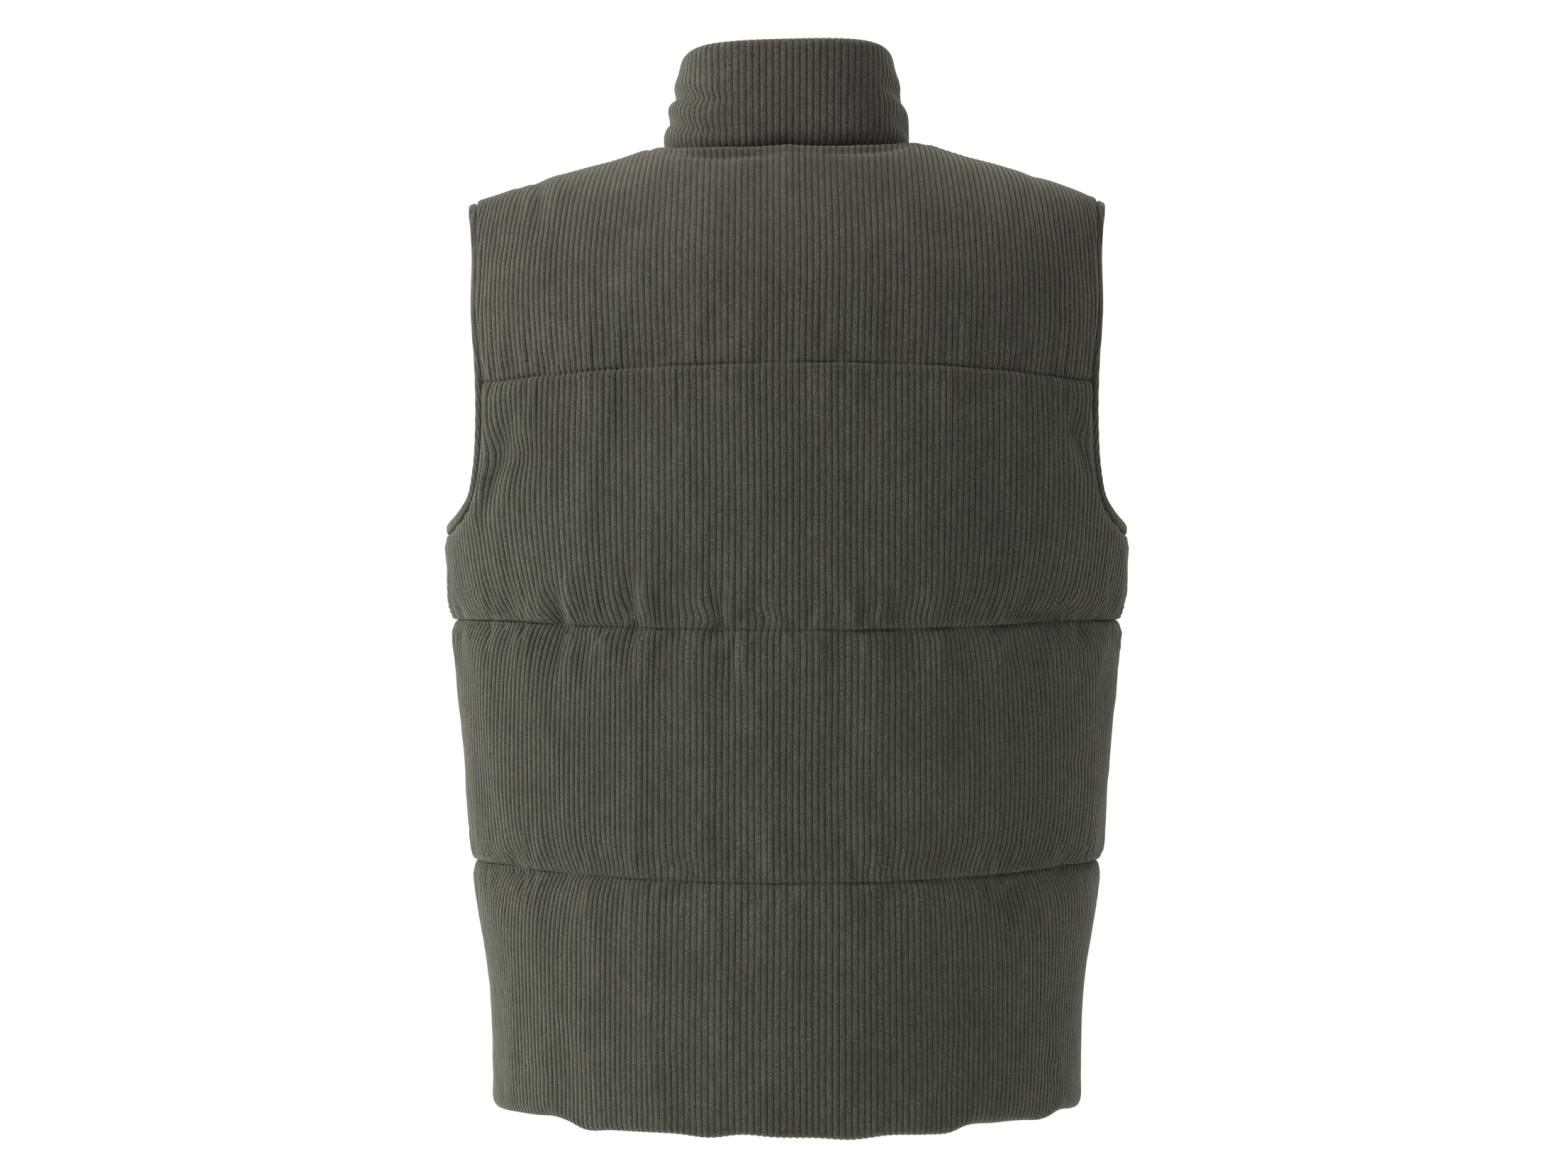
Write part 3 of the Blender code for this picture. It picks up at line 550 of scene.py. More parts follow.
# Places where the ribs swing aside round a hollow: how far, within what reach across and up
Swing = namedtuple("Swing", "across height wide high shift")
SWINGS = {
    BACK: [
        # round the armholes' hollows
        Swing(206, -221, 26, 15, -7.0),
        Swing(222, -262, 22, 18, 2.0),
        Swing(-214, -208, 16, 15, 4.5),
        Swing(-222, -236, 18, 14, -1.5),
        # above the second line
        Swing(158, -327, 13, 12, -3.0),
        Swing(104, -330, 13, 10, -4.0),
        Swing(56, -331, 12, 8, -3.4),
        Swing(12, -332, 10, 7, -2.4),
        Swing(-60, -332, 14, 8, 1.4),
        Swing(-92, -329, 22, 10, 2.8),
        Swing(-132, -328, 20, 12, 3.2),
        Swing(-201, -328, 16, 12, 3.5),
        # above the third line
        Swing(196, -492, 20, 12, -3.0),
        Swing(140, -497, 24, 10, -2.4),
        Swing(70, -500, 16, 8, -2.0),
        Swing(-62, -502, 16, 8, 1.8),
        Swing(-92, -499, 20, 10, 3.0),
        Swing(-134, -497, 22, 11, 3.6),
        Swing(-196, -494, 22, 14, 3.0),
        Swing(200, -60, 30, 24, -1.5),
    ],
    FRONT: [
        Swing(200, -214, 26, 22, -3.5),
        Swing(182, -326, 18, 12, -4.0),
        Swing(96, -329, 18, 10, -2.6),
        Swing(120, -497, 24, 10, -2.8),
    ],
}

# The filling sags a little on to each stitched line below it
SAG, SAG_REACH = 0.55, 8.0

# A crease is a soft trough from one place to another on the cloth; a ridge has a negative depth.
# Places are the millimetres from the centre, towards the wearer's left, and the height.
Crease = namedtuple("Crease", "across height to_across to_height width depth")
BACK_CREASES = [
    # the yoke, full over the shoulder blades
    Crease(-225, -104, 225, -104, 42, -7.0),
    # across the second line, from the left side to the right
    Crease(159, -306, 155, -339, 6, 2.8),
    Crease(150, -300, 144, -337, 6, -2.2),
    Crease(147, -341, 149, -372, 7, -1.2),
    Crease(156, -341, 160, -370, 6, 2.2),
    Crease(106, -298, 101, -340, 6, 3.2),
    Crease(97, -300, 93, -338, 6, -2.0),
    Crease(94, -341, 97, -380, 6, -1.6),
    Crease(103, -341, 108, -372, 6, 1.3),
    Crease(54, -312, 51, -338, 7, -1.2),
    Crease(47, -306, 44, -339, 6, 2.6),
    Crease(38, -340, 37, -376, 7, 2.6),
    Crease(29, -341, 28, -366, 6, -0.9),
    Crease(12, -322, 11, -339, 4, 0.8),
    Crease(-15, -316, -16, -340, 3, 1.0),
    Crease(-17, -340, -19, -372, 3, 1.0),
    Crease(-28, -318, -28, -339, 4, 0.6),
    Crease(-53, -312, -55, -340, 4, 0.8),
    Crease(-54, -350, -58, -376, 4, 0.5),
    Crease(-108, -314, -104, -339, 7, 1.0),
    Crease(-150, -341, -155, -366, 7, 1.8),
    Crease(-142, -341, -144, -372, 6, -0.8),
    Crease(-183, -338, -185, -362, 6, -1.2),
    Crease(-194, -320, -186, -339, 6, 1.4),
    # where the second line draws the cloth in hardest
    Crease(163, -334, 150, -344, 9, 2.2),
    Crease(108, -336, 97, -346, 9, 2.4),
    Crease(52, -336, 40, -347, 10, 2.4),
    # across the third line
    Crease(200, -486, 193, -509, 6, 1.6),
    Crease(176, -466, 166, -508, 10, -1.6),
    Crease(120, -490, 116, -509, 6, 0.7),
    Crease(64, -488, 61, -508, 7, 0.6),
    Crease(-48, -492, -46, -509, 6, 0.5),
    Crease(-104, -488, -101, -508, 7, 0.7),
    Crease(-152, -484, -147, -512, 7, 1.6),
    Crease(-160, -478, -156, -506, 7, -1.2),
    Crease(-148, -512, -156, -532, 9, 2.0),
    Crease(-206, -488, -200, -509, 5, 1.6),
    Crease(-196, -362, -238, -366, 5, 1.3),
    Crease(-190, -430, -234, -436, 5, 1.7),
    # down the second and the bottom channel, and into the hem
    Crease(106, -186, 98, -268, 10, 0.5),
    Crease(92, -250, 88, -306, 9, -0.5),
    Crease(150, -600, 158, -676, 12, 1.4),
    Crease(70, -618, 64, -680, 14, 1.2),
    Crease(-20, -610, -14, -680, 12, 1.0),
    Crease(-104, -606, -100, -680, 14, 1.4),
    Crease(-188, -590, -204, -606, 5, 1.6),
    Crease(-186, -628, -206, -650, 5, 1.8),
    # beside the armholes
    Crease(190, -186, 224, -262, 9, 3.0),
    Crease(210, -212, 234, -272, 7, -2.0),
    Crease(-200, -190, -220, -236, 6, 2.4),
    Crease(-190, -196, -210, -244, 6, -1.2),
    # over the shoulders
    Crease(174, -72, 182, 10, 6, 2.2),
    Crease(160, -60, 166, 14, 6, -0.9),
    Crease(192, -66, 196, 4, 5, 0.9),
    Crease(-170, -60, -178, 14, 7, 0.9),
]
FRONT_CREASES = [
    Crease(40, -308, 37, -340, 6, 1.8),
    Crease(46, -302, 44, -338, 6, -1.2),
    Crease(92, -304, 88, -339, 7, 2.0),
    Crease(99, -300, 95, -338, 6, -1.5),
    Crease(90, -341, 93, -374, 7, 1.3),
    Crease(141, -306, 136, -339, 6, 1.8),
    Crease(180, -314, 172, -339, 6, 1.6),
    Crease(58, -488, 55, -509, 7, 1.3),
    Crease(116, -484, 111, -509, 6, 1.7),
    Crease(124, -480, 119, -507, 6, -1.2),
    Crease(168, -488, 162, -509, 6, 1.5),
    Crease(66, -610, 62, -674, 13, 1.5),
    Crease(136, -600, 142, -674, 12, 1.7),
    Crease(196, -196, 212, -236, 4, 1.3),
]
# The right front creases like the left one, but not alike
NEARER, FURTHER_OUT, TO_FURTHER_OUT, WIDER, SHALLOWER, DEEPER = 0.93, 14, 13, 1.1, 0.7, 1.1
RIGHT_CREASES = [
    crease._replace(
        across=crease.across * NEARER + FURTHER_OUT,
        to_across=crease.to_across * NEARER + TO_FURTHER_OUT,
        width=crease.width * WIDER,
        depth=crease.depth * (SHALLOWER if number % 2 else DEEPER),
    )
    for number, crease in enumerate(FRONT_CREASES)
]

# The three panels of cloth; a front is laid out on the left, and the right one is turned over
Panel = namedtuple("Panel", "node side turned creases")
PANELS = [
    Panel("back", BACK, False, BACK_CREASES),
    Panel("front_left", FRONT, False, FRONT_CREASES),
    Panel("front_right", FRONT, True, RIGHT_CREASES),
]

# How unevenly the turned hem hangs: millimetres down from its even line, along the hem
Bump = namedtuple("Bump", "across down")
HEM_BUMPS = [
    Bump(-290, 3.0), Bump(-258, 3.0), Bump(-214, 0.0), Bump(-196, 3.0), Bump(-176, 1.5),
    Bump(-150, 0.0), Bump(-124, -1.5), Bump(-112, 1.5), Bump(-96, 1.0), Bump(-70, -0.5),
    Bump(-42, 1.5), Bump(-20, 0.0), Bump(8, -0.5), Bump(30, -2.0), Bump(52, 0.5),
    Bump(74, -1.0), Bump(98, -0.5), Bump(122, 1.0), Bump(144, 3.5), Bump(156, 0.5),
    Bump(172, -1.6), Bump(190, -0.5), Bump(214, 0.5), Bump(258, 3.0), Bump(290, 3.0),
]
HEM_BUMP_REACH = 45.0
hem_bump_at = curve_through([b.across for b in HEM_BUMPS], [b.down for b in HEM_BUMPS])

# Rows of the cloth, closest at a stitched line
ROW_LEAST, ROW_GROWTH, ROW_MOST = 1.2, 0.2, 8.0
CHART_ROUNDS, INSIDE_ROUNDS = 4, 8
CHANNEL_HEIGHTS = (165, 169, 178, 215)
HEM_TURN = (14.0, 8.0, 4.0, 1.5)
SNAP_REACH = 12.0
# How strongly creases draw the ribs together
PINCH = 0.9
# How far past its side seam a panel's cloth is laid out before it is cut to its outline
PAST_SIDE = 62.0
# A front's cloth folds in at the zip: its columns from inside, and where its first rib may stand
Column = namedtuple("Column", "place layer")
TURNED_IN = [Column(22, 0.0), Column(14, 0.0), Column(FRONT_EDGE + 1, 0.0), Column(FRONT_EDGE, 0.5)]
FIRST_RIB = 1.2
# By how much stitching presses the ribs flat, and how near to a line
PRESSED, PRESSED_REACH = 0.7, 3.0
# The inner cloth's columns, its edge beside the zip, and how far outwards it is moved
INSIDE_COLUMNS, INSIDE_EDGE, INSIDE_LIFT = 25, FRONT_EDGE + 4, 0.6


def swung(swing, across, height):
    """How far aside a swing moves the ribs at a place."""
    aside, above = (across - swing.across) / swing.wide, (height - swing.height) / swing.high
    return swing.shift * np.exp(-(aside**2) - above**2)


def laid(s, up, panel):
    """Where a rib at a cloth length s lies on the form at a height up: gathered, and leaning."""
    side = panel.side
    share = 0
    for gather in GATHERS[side]:
        above = up - (gather.height - CHEST_LINE)
        reach = np.where(above > 0, gather.above, gather.below)
        share = share + gather.share * np.exp(-np.abs(above) / reach)
    across = s * (1 - share * ramp(np.abs(s), GATHER_FROM, GATHER_FULL))
    low = ramp(CHEST_LINE + up, TAPER_FROM, TAPER_FULL)
    across -= np.sign(s) * TAPER * low * np.maximum(np.abs(s) - TAPER_ASIDE, 0)
    x = column_x(across, side)
    turn = np.clip(arc_angle(np.maximum(up, 0), column_rise(x), column_depth(x, side)), 0, pi)
    lean = LEAN_RADIUS * (turn - np.sin(turn)) - SPLAY * (1 - np.cos(turn))
    lean = lean * ramp(np.abs(x), LEAN_FROM, LEAN_FULL)
    wobble = sum(w.size * np.sin(up / w.up + s / w.across + w.start) for w in WOBBLE)
    across = across - np.sign(s) * lean + wobble
    for swing in SWINGS[side]:
        across = across + swung(swing, across, CHEST_LINE + up)
    return across + pinched(across, CHEST_LINE + up, panel.creases)


def padding(across, up, side):
    """How full the padding is at a place, from 0 on a stitched line or seam to 1."""
    full = np.ones_like(across)
    for line in lines_of(side):
        above = up - line_up(line, across)
        risen = np.where(above > 0, rounded(above, line.above), rounded(-above, line.below))
        full = full * (1 - pull_of(line, across) * (1 - risen))
    for name, (seam, rise, reach) in seams(side).items():
        for row in range(len(full)):
            away = nearest_on(seam, np.abs(across[row]), up[row])[1]
            if name == "armhole":
                # Beside the upper armhole the padding runs full up to the binding, and only
                # rounds off at the shoulder's tip
                tight = ramp(up[row], TIGHT_FROM, TIGHT_FULL)
                tip = smooth((up[row] - seam[-1, 1]) / TIP_REACH + 1)
                reach_here = reach + (TIGHT_RISE - reach) * tight
                reach_here = reach_here + (TIP_RISE - reach_here) * tip
                floor = TIGHT_FLOOR * tight + (TIP_FLOOR - TIGHT_FLOOR) * tip
                full[row] *= 1 - (1 - floor) * (1 - rise(away, reach_here))
            elif name == "side":
                full[row] *= 1 - SIDE_SEAM_PULL * (1 - rise(away, reach))
            else:
                full[row] *= rise(away, reach)
    full = full * rounded(up - hem_up(across, side), HEM_ROUND)
    if side == FRONT:
        full = full * rounded(across - ZIP_FACING, RISE_FROM_SEAM)
    return full


def beside(crease, across, height):
    """How far places lie to the side of a crease, its own sideways direction across the cloth, and
    how strong it is there, from 0 at its two ends to 1 in its middle."""
    start = np.array([crease.across, crease.height])
    step = np.array([crease.to_across, crease.to_height]) - start
    length = np.hypot(*step)
    step = step / length
    along = (across - start[0]) * step[0] + (height - start[1]) * step[1]
    aside = (across - start[0]) * -step[1] + (height - start[1]) * step[0]
    return aside, -step[1], np.clip(1 - (2 * along / length - 1) ** 2, 0, 1)


def creased(across, height, creases):
    """The height of the creases at a place, as troughs below 0 and ridges above it."""
    total = np.zeros_like(across)
    for crease in creases:
        aside, _, strength = beside(crease, across, height)
        total -= crease.depth * strength * np.exp(-((aside / crease.width) ** 2))
    return total


def pinched(across, height, creases):
    """How far the ribs at a place are drawn sideways into the troughs beside them."""
    total = np.zeros_like(across)
    for crease in creases:
        aside, sideways, strength = beside(crease, across, height)
        share = aside / crease.width
        total -= PINCH * crease.depth * sideways * strength * share * np.exp(-(share**2))
    return total


def sag_of(up, across, side):
    """How far the filling at a place has sunk towards the stitched line below it."""
    sunk = np.zeros_like(across)
    for line in lines_of(side):
        above = np.maximum(up - line_up(line, across), 0)
        sunk += SAG * pull_of(line, across) ** 2 * above * np.exp(-above / SAG_REACH)
    return sunk


# Along a stitched line the cloth puckers in small waves: how far, over what reach above and below
# it, and the lengths of a short wave and of a long one that shifts it
PUCKER, PUCKER_REACH = 0.9, 11.0
PUCKER_WAVE, PUCKER_DRIFT = 13.0, 47.0
# How far the long wave shifts the short one, how the short one leans, its mean strength and how
# much that changes, the length of that change in long waves, and its strength below a line
DRIFT, WAVE_LEAN, STRENGTH, STRENGTH_CHANGE, STRENGTH_DRIFT, BELOW_LINE = 1.9, 0.04, 0.6, 0.4, 1.7, 0.75


def puckers(across, up, side):
    """How far the small waves along the stitched lines stand out at a place."""
    total = np.zeros_like(across)
    for number, line in enumerate(lines_of(side)):
        above = up - line_up(line, across)
        drift = DRIFT * np.sin(2 * pi * across / PUCKER_DRIFT + number)
        wave = np.sin(2 * pi * across / PUCKER_WAVE + drift + 2 * number + WAVE_LEAN * above)
        change = np.sin(2 * pi * across / (PUCKER_DRIFT * STRENGTH_DRIFT) - number)
        strength = STRENGTH + STRENGTH_CHANGE * change
        side_of = np.where(above > 0, 1.0, BELOW_LINE)
        fading = np.abs(above) / PUCKER_REACH
        total += PUCKER * line.pull * wave * strength * side_of * fading * np.exp(1 - fading)
    return total


# Under the collar the back's edge rolls over, with a soft crease below the roll: how high the
# roll stands and how deep the crease is, along the seam
Roll = namedtuple("Roll", "across height fold")
NECK_ROLL = [
    Roll(-84, 0.5, 1.0), Roll(-60, 1.8, 2.8), Roll(-40, 1.6, 2.2), Roll(-20, 1.4, 1.2),
    Roll(0, 1.2, 1.6), Roll(20, 2.2, 2.8), Roll(50, 3.4, 3.6), Roll(84, 1.0, 1.4),
]
neck_roll_at = curve_through([r.across for r in NECK_ROLL], [r.height for r in NECK_ROLL])
neck_fold_at = curve_through([r.across for r in NECK_ROLL], [r.fold for r in NECK_ROLL])
ROLL_AT, ROLL_WIDTH = 5.0, 4.5
FOLD_AT, FOLD_WIDTH = 13.5, 2.8
# It is worked out only above this length up and within this one of the centre
ROLL_ABOVE, ROLL_WITHIN = 180.0, 130.0


def neck_roll(across, up, side):
    """How far the rolled edge under the collar stands out of the padding."""
    line = seams(side)["neck"][0]
    away = nearest_on(line, np.abs(across), up)[1]
    roll = neck_roll_at(across) * np.exp(-(((away - ROLL_AT) / ROLL_WIDTH) ** 2))
    fold = neck_fold_at(across) * np.exp(-(((away - FOLD_AT) / FOLD_WIDTH) ** 2))
    return roll - fold


def padded_point(across, up, layer, panel):
    """A point of a padded panel: layer 1 is its outer cloth and 0 its inner cloth."""
    side = panel.side
    full = padding(across, up, side)
    out = STITCHED_OUT + (CREST_OUT - STITCHED_OUT) * full
    out = out + creased(across, CHEST_LINE + up, panel.creases) * np.minimum(full * 2, 1)
    if side == BACK:
        near = (up > ROLL_ABOVE) & (np.abs(across) < ROLL_WITHIN)
        out[near] += neck_roll(across[near], up[near], side)
    out = out + puckers(across, up, side)
    inn = STITCHED_IN + (CREST_IN - STITCHED_IN) * full
    hang = hem_bump_at(across) * smooth(1 - (up - hem_up(across, side)) / HEM_BUMP_REACH)
    low = up - sag_of(up, across, side) * layer - hang
    offset = inn + (out - inn) * layer
    return form(across, low, side) + form_normal(across, low, side) * offset[..., None]


def rib_columns(first, last, pitch):
    """Columns of whole ribs between two cloth lengths: their places and heights in the rib."""
    count = np.arange(np.floor(first / pitch), np.ceil(last / pitch))
    places = (count[:, None] + np.array([rib.place for rib in RIB])) * pitch
    return places.ravel(), np.tile([rib.height for rib in RIB], len(count))


def channel_shares(length):
    """Rows of a channel as shares of its height, closest at its two stitched edges."""
    low = [0.0]
    while low[-1] < length / 2:
        low.append(low[-1] + min(ROW_MOST, ROW_LEAST + ROW_GROWTH * low[-1]))
    low = np.array(low[:-1])
    return np.concatenate([low, length - low[::-1]]) / length


# A row of a panel: the edges below and above it, its share of the way between them, how far up
# it is moved from there, and its layer
Row = namedtuple("Row", "low high share more layer")


def panel_rows(side):
    """Each row of a panel from inside the hem upwards."""
    edges = channel_edges(side)
    rows = [Row(edges[0], edges[1], 0.0, turn, 0.0) for turn in HEM_TURN]
    rows.append(Row(edges[0], edges[1], 0.0, 0.0, 0.5))
    for number, length in enumerate(CHANNEL_HEIGHTS):
        for share in channel_shares(length)[min(number, 1) :]:
            rows.append(Row(edges[number], edges[number + 1], share, 0.0, 1.0))
    return rows


def row_places():
    """Each row's place from channel to channel: 0 at the hem, 1 at the first line and so on."""
    places = [0.0] * (len(HEM_TURN) + 1)
    for number, length in enumerate(CHANNEL_HEIGHTS):
        places += [number + share for share in channel_shares(length)[min(number, 1) :]]
    return np.array(places)


def chart(s, rows, panel):
    """Cloth lengths on the form for every row and every rib column, found in a few rounds, as how
    far up a row runs and how far across a rib lies there depend on each other."""
    across_rows, up_rows = [], []
    for row in rows:
        across = s.copy()
        for _ in range(CHART_ROUNDS):
            up = row.low(across) * (1 - row.share) + row.high(across) * row.share + row.more
            across = laid(s, up, panel)
        across_rows.append(across)
        up_rows.append(up)
    return np.array(across_rows), np.array(up_rows)


# ---------------------------------------------------------------- meshes
def add_object(name, data):
    thing = bpy.data.objects.new(name, data)
    bpy.context.scene.collection.objects.link(thing)
    return thing


def add_piece(name, points, faces, material, flat=None, node=None, turned_over=False):
    """A smooth piece of the vest from points in millimetres, which takes a node's place, with its
    flat cloth's places as a map in metres."""
    points = points.reshape(-1, 3)
    used = np.unique(faces)
    number = np.full(len(points), -1)
    number[used] = np.arange(len(used))
    mesh = bpy.data.meshes.new(name)
    mesh.from_pydata((points[used] * MM).tolist(), [], number[faces].tolist())
    if flat is not None:
        layer = mesh.uv_layers.new(name="cloth")
        corners = np.empty(len(mesh.loops), dtype=np.int32)
        mesh.loops.foreach_get("vertex_index", corners)
        places = flat.reshape(-1, 2)[used][corners] * MM
        layer.data.foreach_set("uv", places.astype(np.float32).ravel())
    mesh.shade_smooth()
    if turned_over:
        mesh.flip_normals()
    mesh.materials.append(material)
    piece = add_object(name, mesh)
    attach(piece, "vest")
    if node:
        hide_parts(node)


def grid_normals(points):
    """Unit normals of a grid of points, from its own rows and columns."""
    normal = np.cross(np.gradient(points, axis=1), np.gradient(points, axis=0))
    return normal / np.maximum(np.linalg.norm(normal, axis=-1, keepdims=True), 1e-9)


def grid_faces(rows, columns, keep=None, closed=False):
    """The faces between neighbouring rows and columns, where each one is kept."""
    row, column = np.meshgrid(
        np.arange(rows - 1), np.arange(columns if closed else columns - 1), indexing="ij"
    )
    following = (column + 1) % columns
    first, second = row * columns + column, row * columns + following
    faces = np.stack([first, second, second + columns, first + columns], axis=-1)
    return faces[keep] if keep is not None else faces.reshape(-1, 4)


def cut_to_outline(across, up, side):
    """Points past the side seam and the armhole, moved on to them: the new places, which points
    lie inside and which may be used."""
    inside = np.abs(across) < panel_side(up, side)
    line = side_outline(side)
    usable = inside.copy()
    for row in range(len(across)):
        past = np.flatnonzero(~inside[row] & (np.abs(across[row]) < line[:, 0].max() + SNAP_REACH))
        if not len(past):
            continue
        near, away = nearest_on(line, np.abs(across[row, past]), up[row, past])
        close = away < SNAP_REACH
        past, near = past[close], near[close]
        across[row, past] = np.sign(across[row, past]) * (near[:, 0] + SEAM_LAP / 2)
        up[row, past] = near[:, 1]
        usable[row, past] = True
    return across, up, inside, usable


def kept_faces(inside, usable):
    """Which faces of a grid have a corner inside and no corner that is out of use."""
    def corners(flags):
        return np.stack([flags[:-1, :-1], flags[:-1, 1:], flags[1:, 1:], flags[1:, :-1]])

    return corners(inside).any(0) & corners(usable).all(0)


# ---------------------------------------------------------------- Blender's cloth
# Blender's cloth, laid over the padding a little too large for it: how stiff and how damped it
# is, and how hard it is filled
CLOTH_SETTINGS = {
    "quality": 6,
    "mass": 0.15,
    "tension_stiffness": 15.0,
    "compression_stiffness": 15.0,
    "shear_stiffness": 5.0,
    "bending_stiffness": 1.2,
    "tension_damping": 15,
    "compression_damping": 15,
    "air_damping": 4,
    "shrink_min": -0.05,
    "use_pressure": True,
    "uniform_pressure_force": 2.0,
}
# Its grid in millimetres, how long it settles, how far a place may move, and over how many rows
# and columns each way a broad movement is told from a fine one
CLOTH_STEP, CLOTH_FRAMES, CLOTH_MOST, CLOTH_BROAD = 4.25, 24, 7.0, 7
# Between the stitched lines the filling holds the cloth smooth: over what reach its movement
# fades, how much of it counts near a line and far from one, and how near its broad part stays
CLOTH_REACH, CLOTH_NEAR, CLOTH_FAR, CLOTH_HELD = 26.0, 1.3, 0.15, 9.0
# How far inside a panel's outline its cloth is free to move
CLOTH_INSET = 1.5
NEARLY_NONE = 1e-6


def simulated(points, faces, sewn):
    """The same points after Blender's cloth has filled and settled, held where it is sewn."""
    mesh = bpy.data.meshes.new("settling_cloth")
    mesh.from_pydata((points * MM).tolist(), [], faces.tolist())
    piece = add_object("settling_cloth", mesh)
    scene = bpy.context.scene
    piece.vertex_groups.new(name="sewn").add(np.flatnonzero(sewn).tolist(), 1.0, "REPLACE")
    cloth = piece.modifiers.new("cloth", "CLOTH")
    cloth.settings.vertex_group_mass = "sewn"
    for name, value in CLOTH_SETTINGS.items():
        setattr(cloth.settings, name, value)
    cloth.settings.effector_weights.gravity = 0
    cloth.collision_settings.use_collision = False
    cloth.point_cache.frame_end = CLOTH_FRAMES
    for number in range(1, CLOTH_FRAMES + 1):
        scene.frame_set(number)
    settled_mesh = piece.evaluated_get(bpy.context.evaluated_depsgraph_get()).data
    result = np.empty(len(points) * 3)
    settled_mesh.vertices.foreach_get("co", result)
    scene.frame_set(1)
    bpy.data.objects.remove(piece)
    bpy.data.meshes.remove(mesh)
    return result.reshape(-1, 3) / MM


def averaged(field, reach):
    """A grid of values averaged over its neighbours, a few rows and columns each way."""
    for axis in (0, 1):
        size = field.shape[axis]
        at = np.clip(np.arange(-reach, size + reach + 1), 0, size - 1)
        total = np.cumsum(np.take(field, at, axis), axis=axis)
        high = np.take(total, np.arange(2 * reach, 2 * reach + size), axis)
        low = np.take(total, np.arange(size), axis)
        field = (high - low) / (2 * reach)
    return field


def pucker(panel):
    """How the filled cloth of a panel puckers between its stitches: how far each place moves, by
    its cloth length and by its place from channel to channel."""
    side = panel.side
    edge = quarter(CHEST_LINE, side) + PAST_SIDE
    s = np.arange(-edge if side == BACK else FRONT_EDGE, edge, CLOTH_STEP)
    edges = channel_edges(side)
    rows, places = [], []
    for number, length in enumerate(CHANNEL_HEIGHTS):
        count = int(length / CLOTH_STEP)
        for step in range(min(number, 1), count + 1):
            rows.append(Row(edges[number], edges[number + 1], step / count, 0.0, 1.0))
            places.append(number + step / count)
    places = np.array(places)
    across, up = chart(s, rows, panel)
    points = padded_point(across, up, np.ones_like(up), panel)
    inside = np.abs(across) < panel_side(up, side) - CLOTH_INSET
    if side == FRONT:
        inside &= across > ZIP_FACING
    on_line = np.abs(places - np.round(places)) < NEARLY_NONE
    sewn = ~inside | on_line[:, None]
    points = points.reshape(-1, 3)
    moved = simulated(points, grid_faces(*across.shape), sewn.ravel()) - points
    moved = moved.reshape(*across.shape, 3)
    length = np.linalg.norm(moved, axis=-1, keepdims=True)
    moved = moved * np.minimum(1, CLOTH_MOST / np.maximum(length, NEARLY_NONE))
    away = [np.abs(up - line_up(line, across)) for line in lines_of(side)]
    held = smooth(np.min(away, axis=0) / CLOTH_HELD)
    fine = moved - averaged(moved, CLOTH_BROAD) * (held * inside)[..., None]
    near = CLOTH_FAR
    for line, distance in zip(lines_of(side), away):
        near = near + CLOTH_NEAR * line.pull**2 * np.exp(-((distance / CLOTH_REACH) ** 2))
    return s, places, fine * (near * inside)[..., None]


def sampled(field, s, places):
    """A pucker's movement at every row and column of a finer grid."""
    at_s, at_places, moved = field
    column = np.clip(np.searchsorted(at_s, s) - 1, 0, len(at_s) - 2)
    row = np.clip(np.searchsorted(at_places, places) - 1, 0, len(at_places) - 2)
    f = ramp(s, at_s[column], at_s[column + 1])[None, :, None]
    g = ramp(places, at_places[row], at_places[row + 1])[:, None, None]
    row, column = row[:, None], column[None]
    low = moved[row, column] * (1 - f) + moved[row, column + 1] * f
    high = moved[row + 1, column] * (1 - f) + moved[row + 1, column + 1] * f
    return low * (1 - g) + high * g


# ---------------------------------------------------------------- the panels
def panel_cloth(panel, material):
    """The outer corduroy of a panel with all its ribs, turned in at the hem and the zip."""
    side = panel.side
    edge = quarter(CHEST_LINE, side) + PAST_SIDE
    s, height = rib_columns(-edge if side == BACK else FRONT_EDGE, edge, WALE)
    layer_across = np.ones_like(s)
    if side == FRONT:
        kept = s > FRONT_EDGE + FIRST_RIB
        s = np.concatenate([[column.place for column in TURNED_IN], s[kept]])
        height = np.concatenate([np.ones(len(TURNED_IN)), height[kept]])
        layer_across = np.concatenate([[column.layer for column in TURNED_IN], layer_across[kept]])
    rows = panel_rows(side)
    layer = np.array([row.layer for row in rows])[:, None] * layer_across
    across, up = chart(s, rows, panel)
    if side == FRONT:
        across = np.maximum(across, FRONT_EDGE)
    cut_across, cut_up, inside, usable = cut_to_outline(across.copy(), up.copy(), side)
    points = padded_point(across, up, layer, panel)
    moved_by = sampled(pucker(panel), s, row_places())
    points = points + moved_by * (layer * inside)[..., None]
    normals = -side * grid_normals(points)
    cut = usable & ~inside
    at_cut = (values[cut][None] for values in (cut_across, cut_up, layer))
    points[cut] = padded_point(*at_cut, panel)[0]
    relief = RELIEF * (1 + RELIEF_ASIDE * smooth((np.abs(across) - ASIDE_FROM) / ASIDE_REACH))
    for line in lines_of(side):
        pressed = 1 - smooth(np.abs(up - line_up(line, across)) / PRESSED_REACH)
        relief = relief * (1 - PRESSED * pull_of(line, across) * pressed)
    points = placed(points + normals * (relief * (height - RIB_LEVEL))[..., None], panel.turned)
    faces = grid_faces(*across.shape, kept_faces(inside, usable))
    flat = np.stack([np.broadcast_to(s, up.shape), up], axis=-1)
    over = (side == FRONT) == panel.turned
    add_piece(f"{panel.node}_cloth", points, faces, material, flat, panel.node, over)


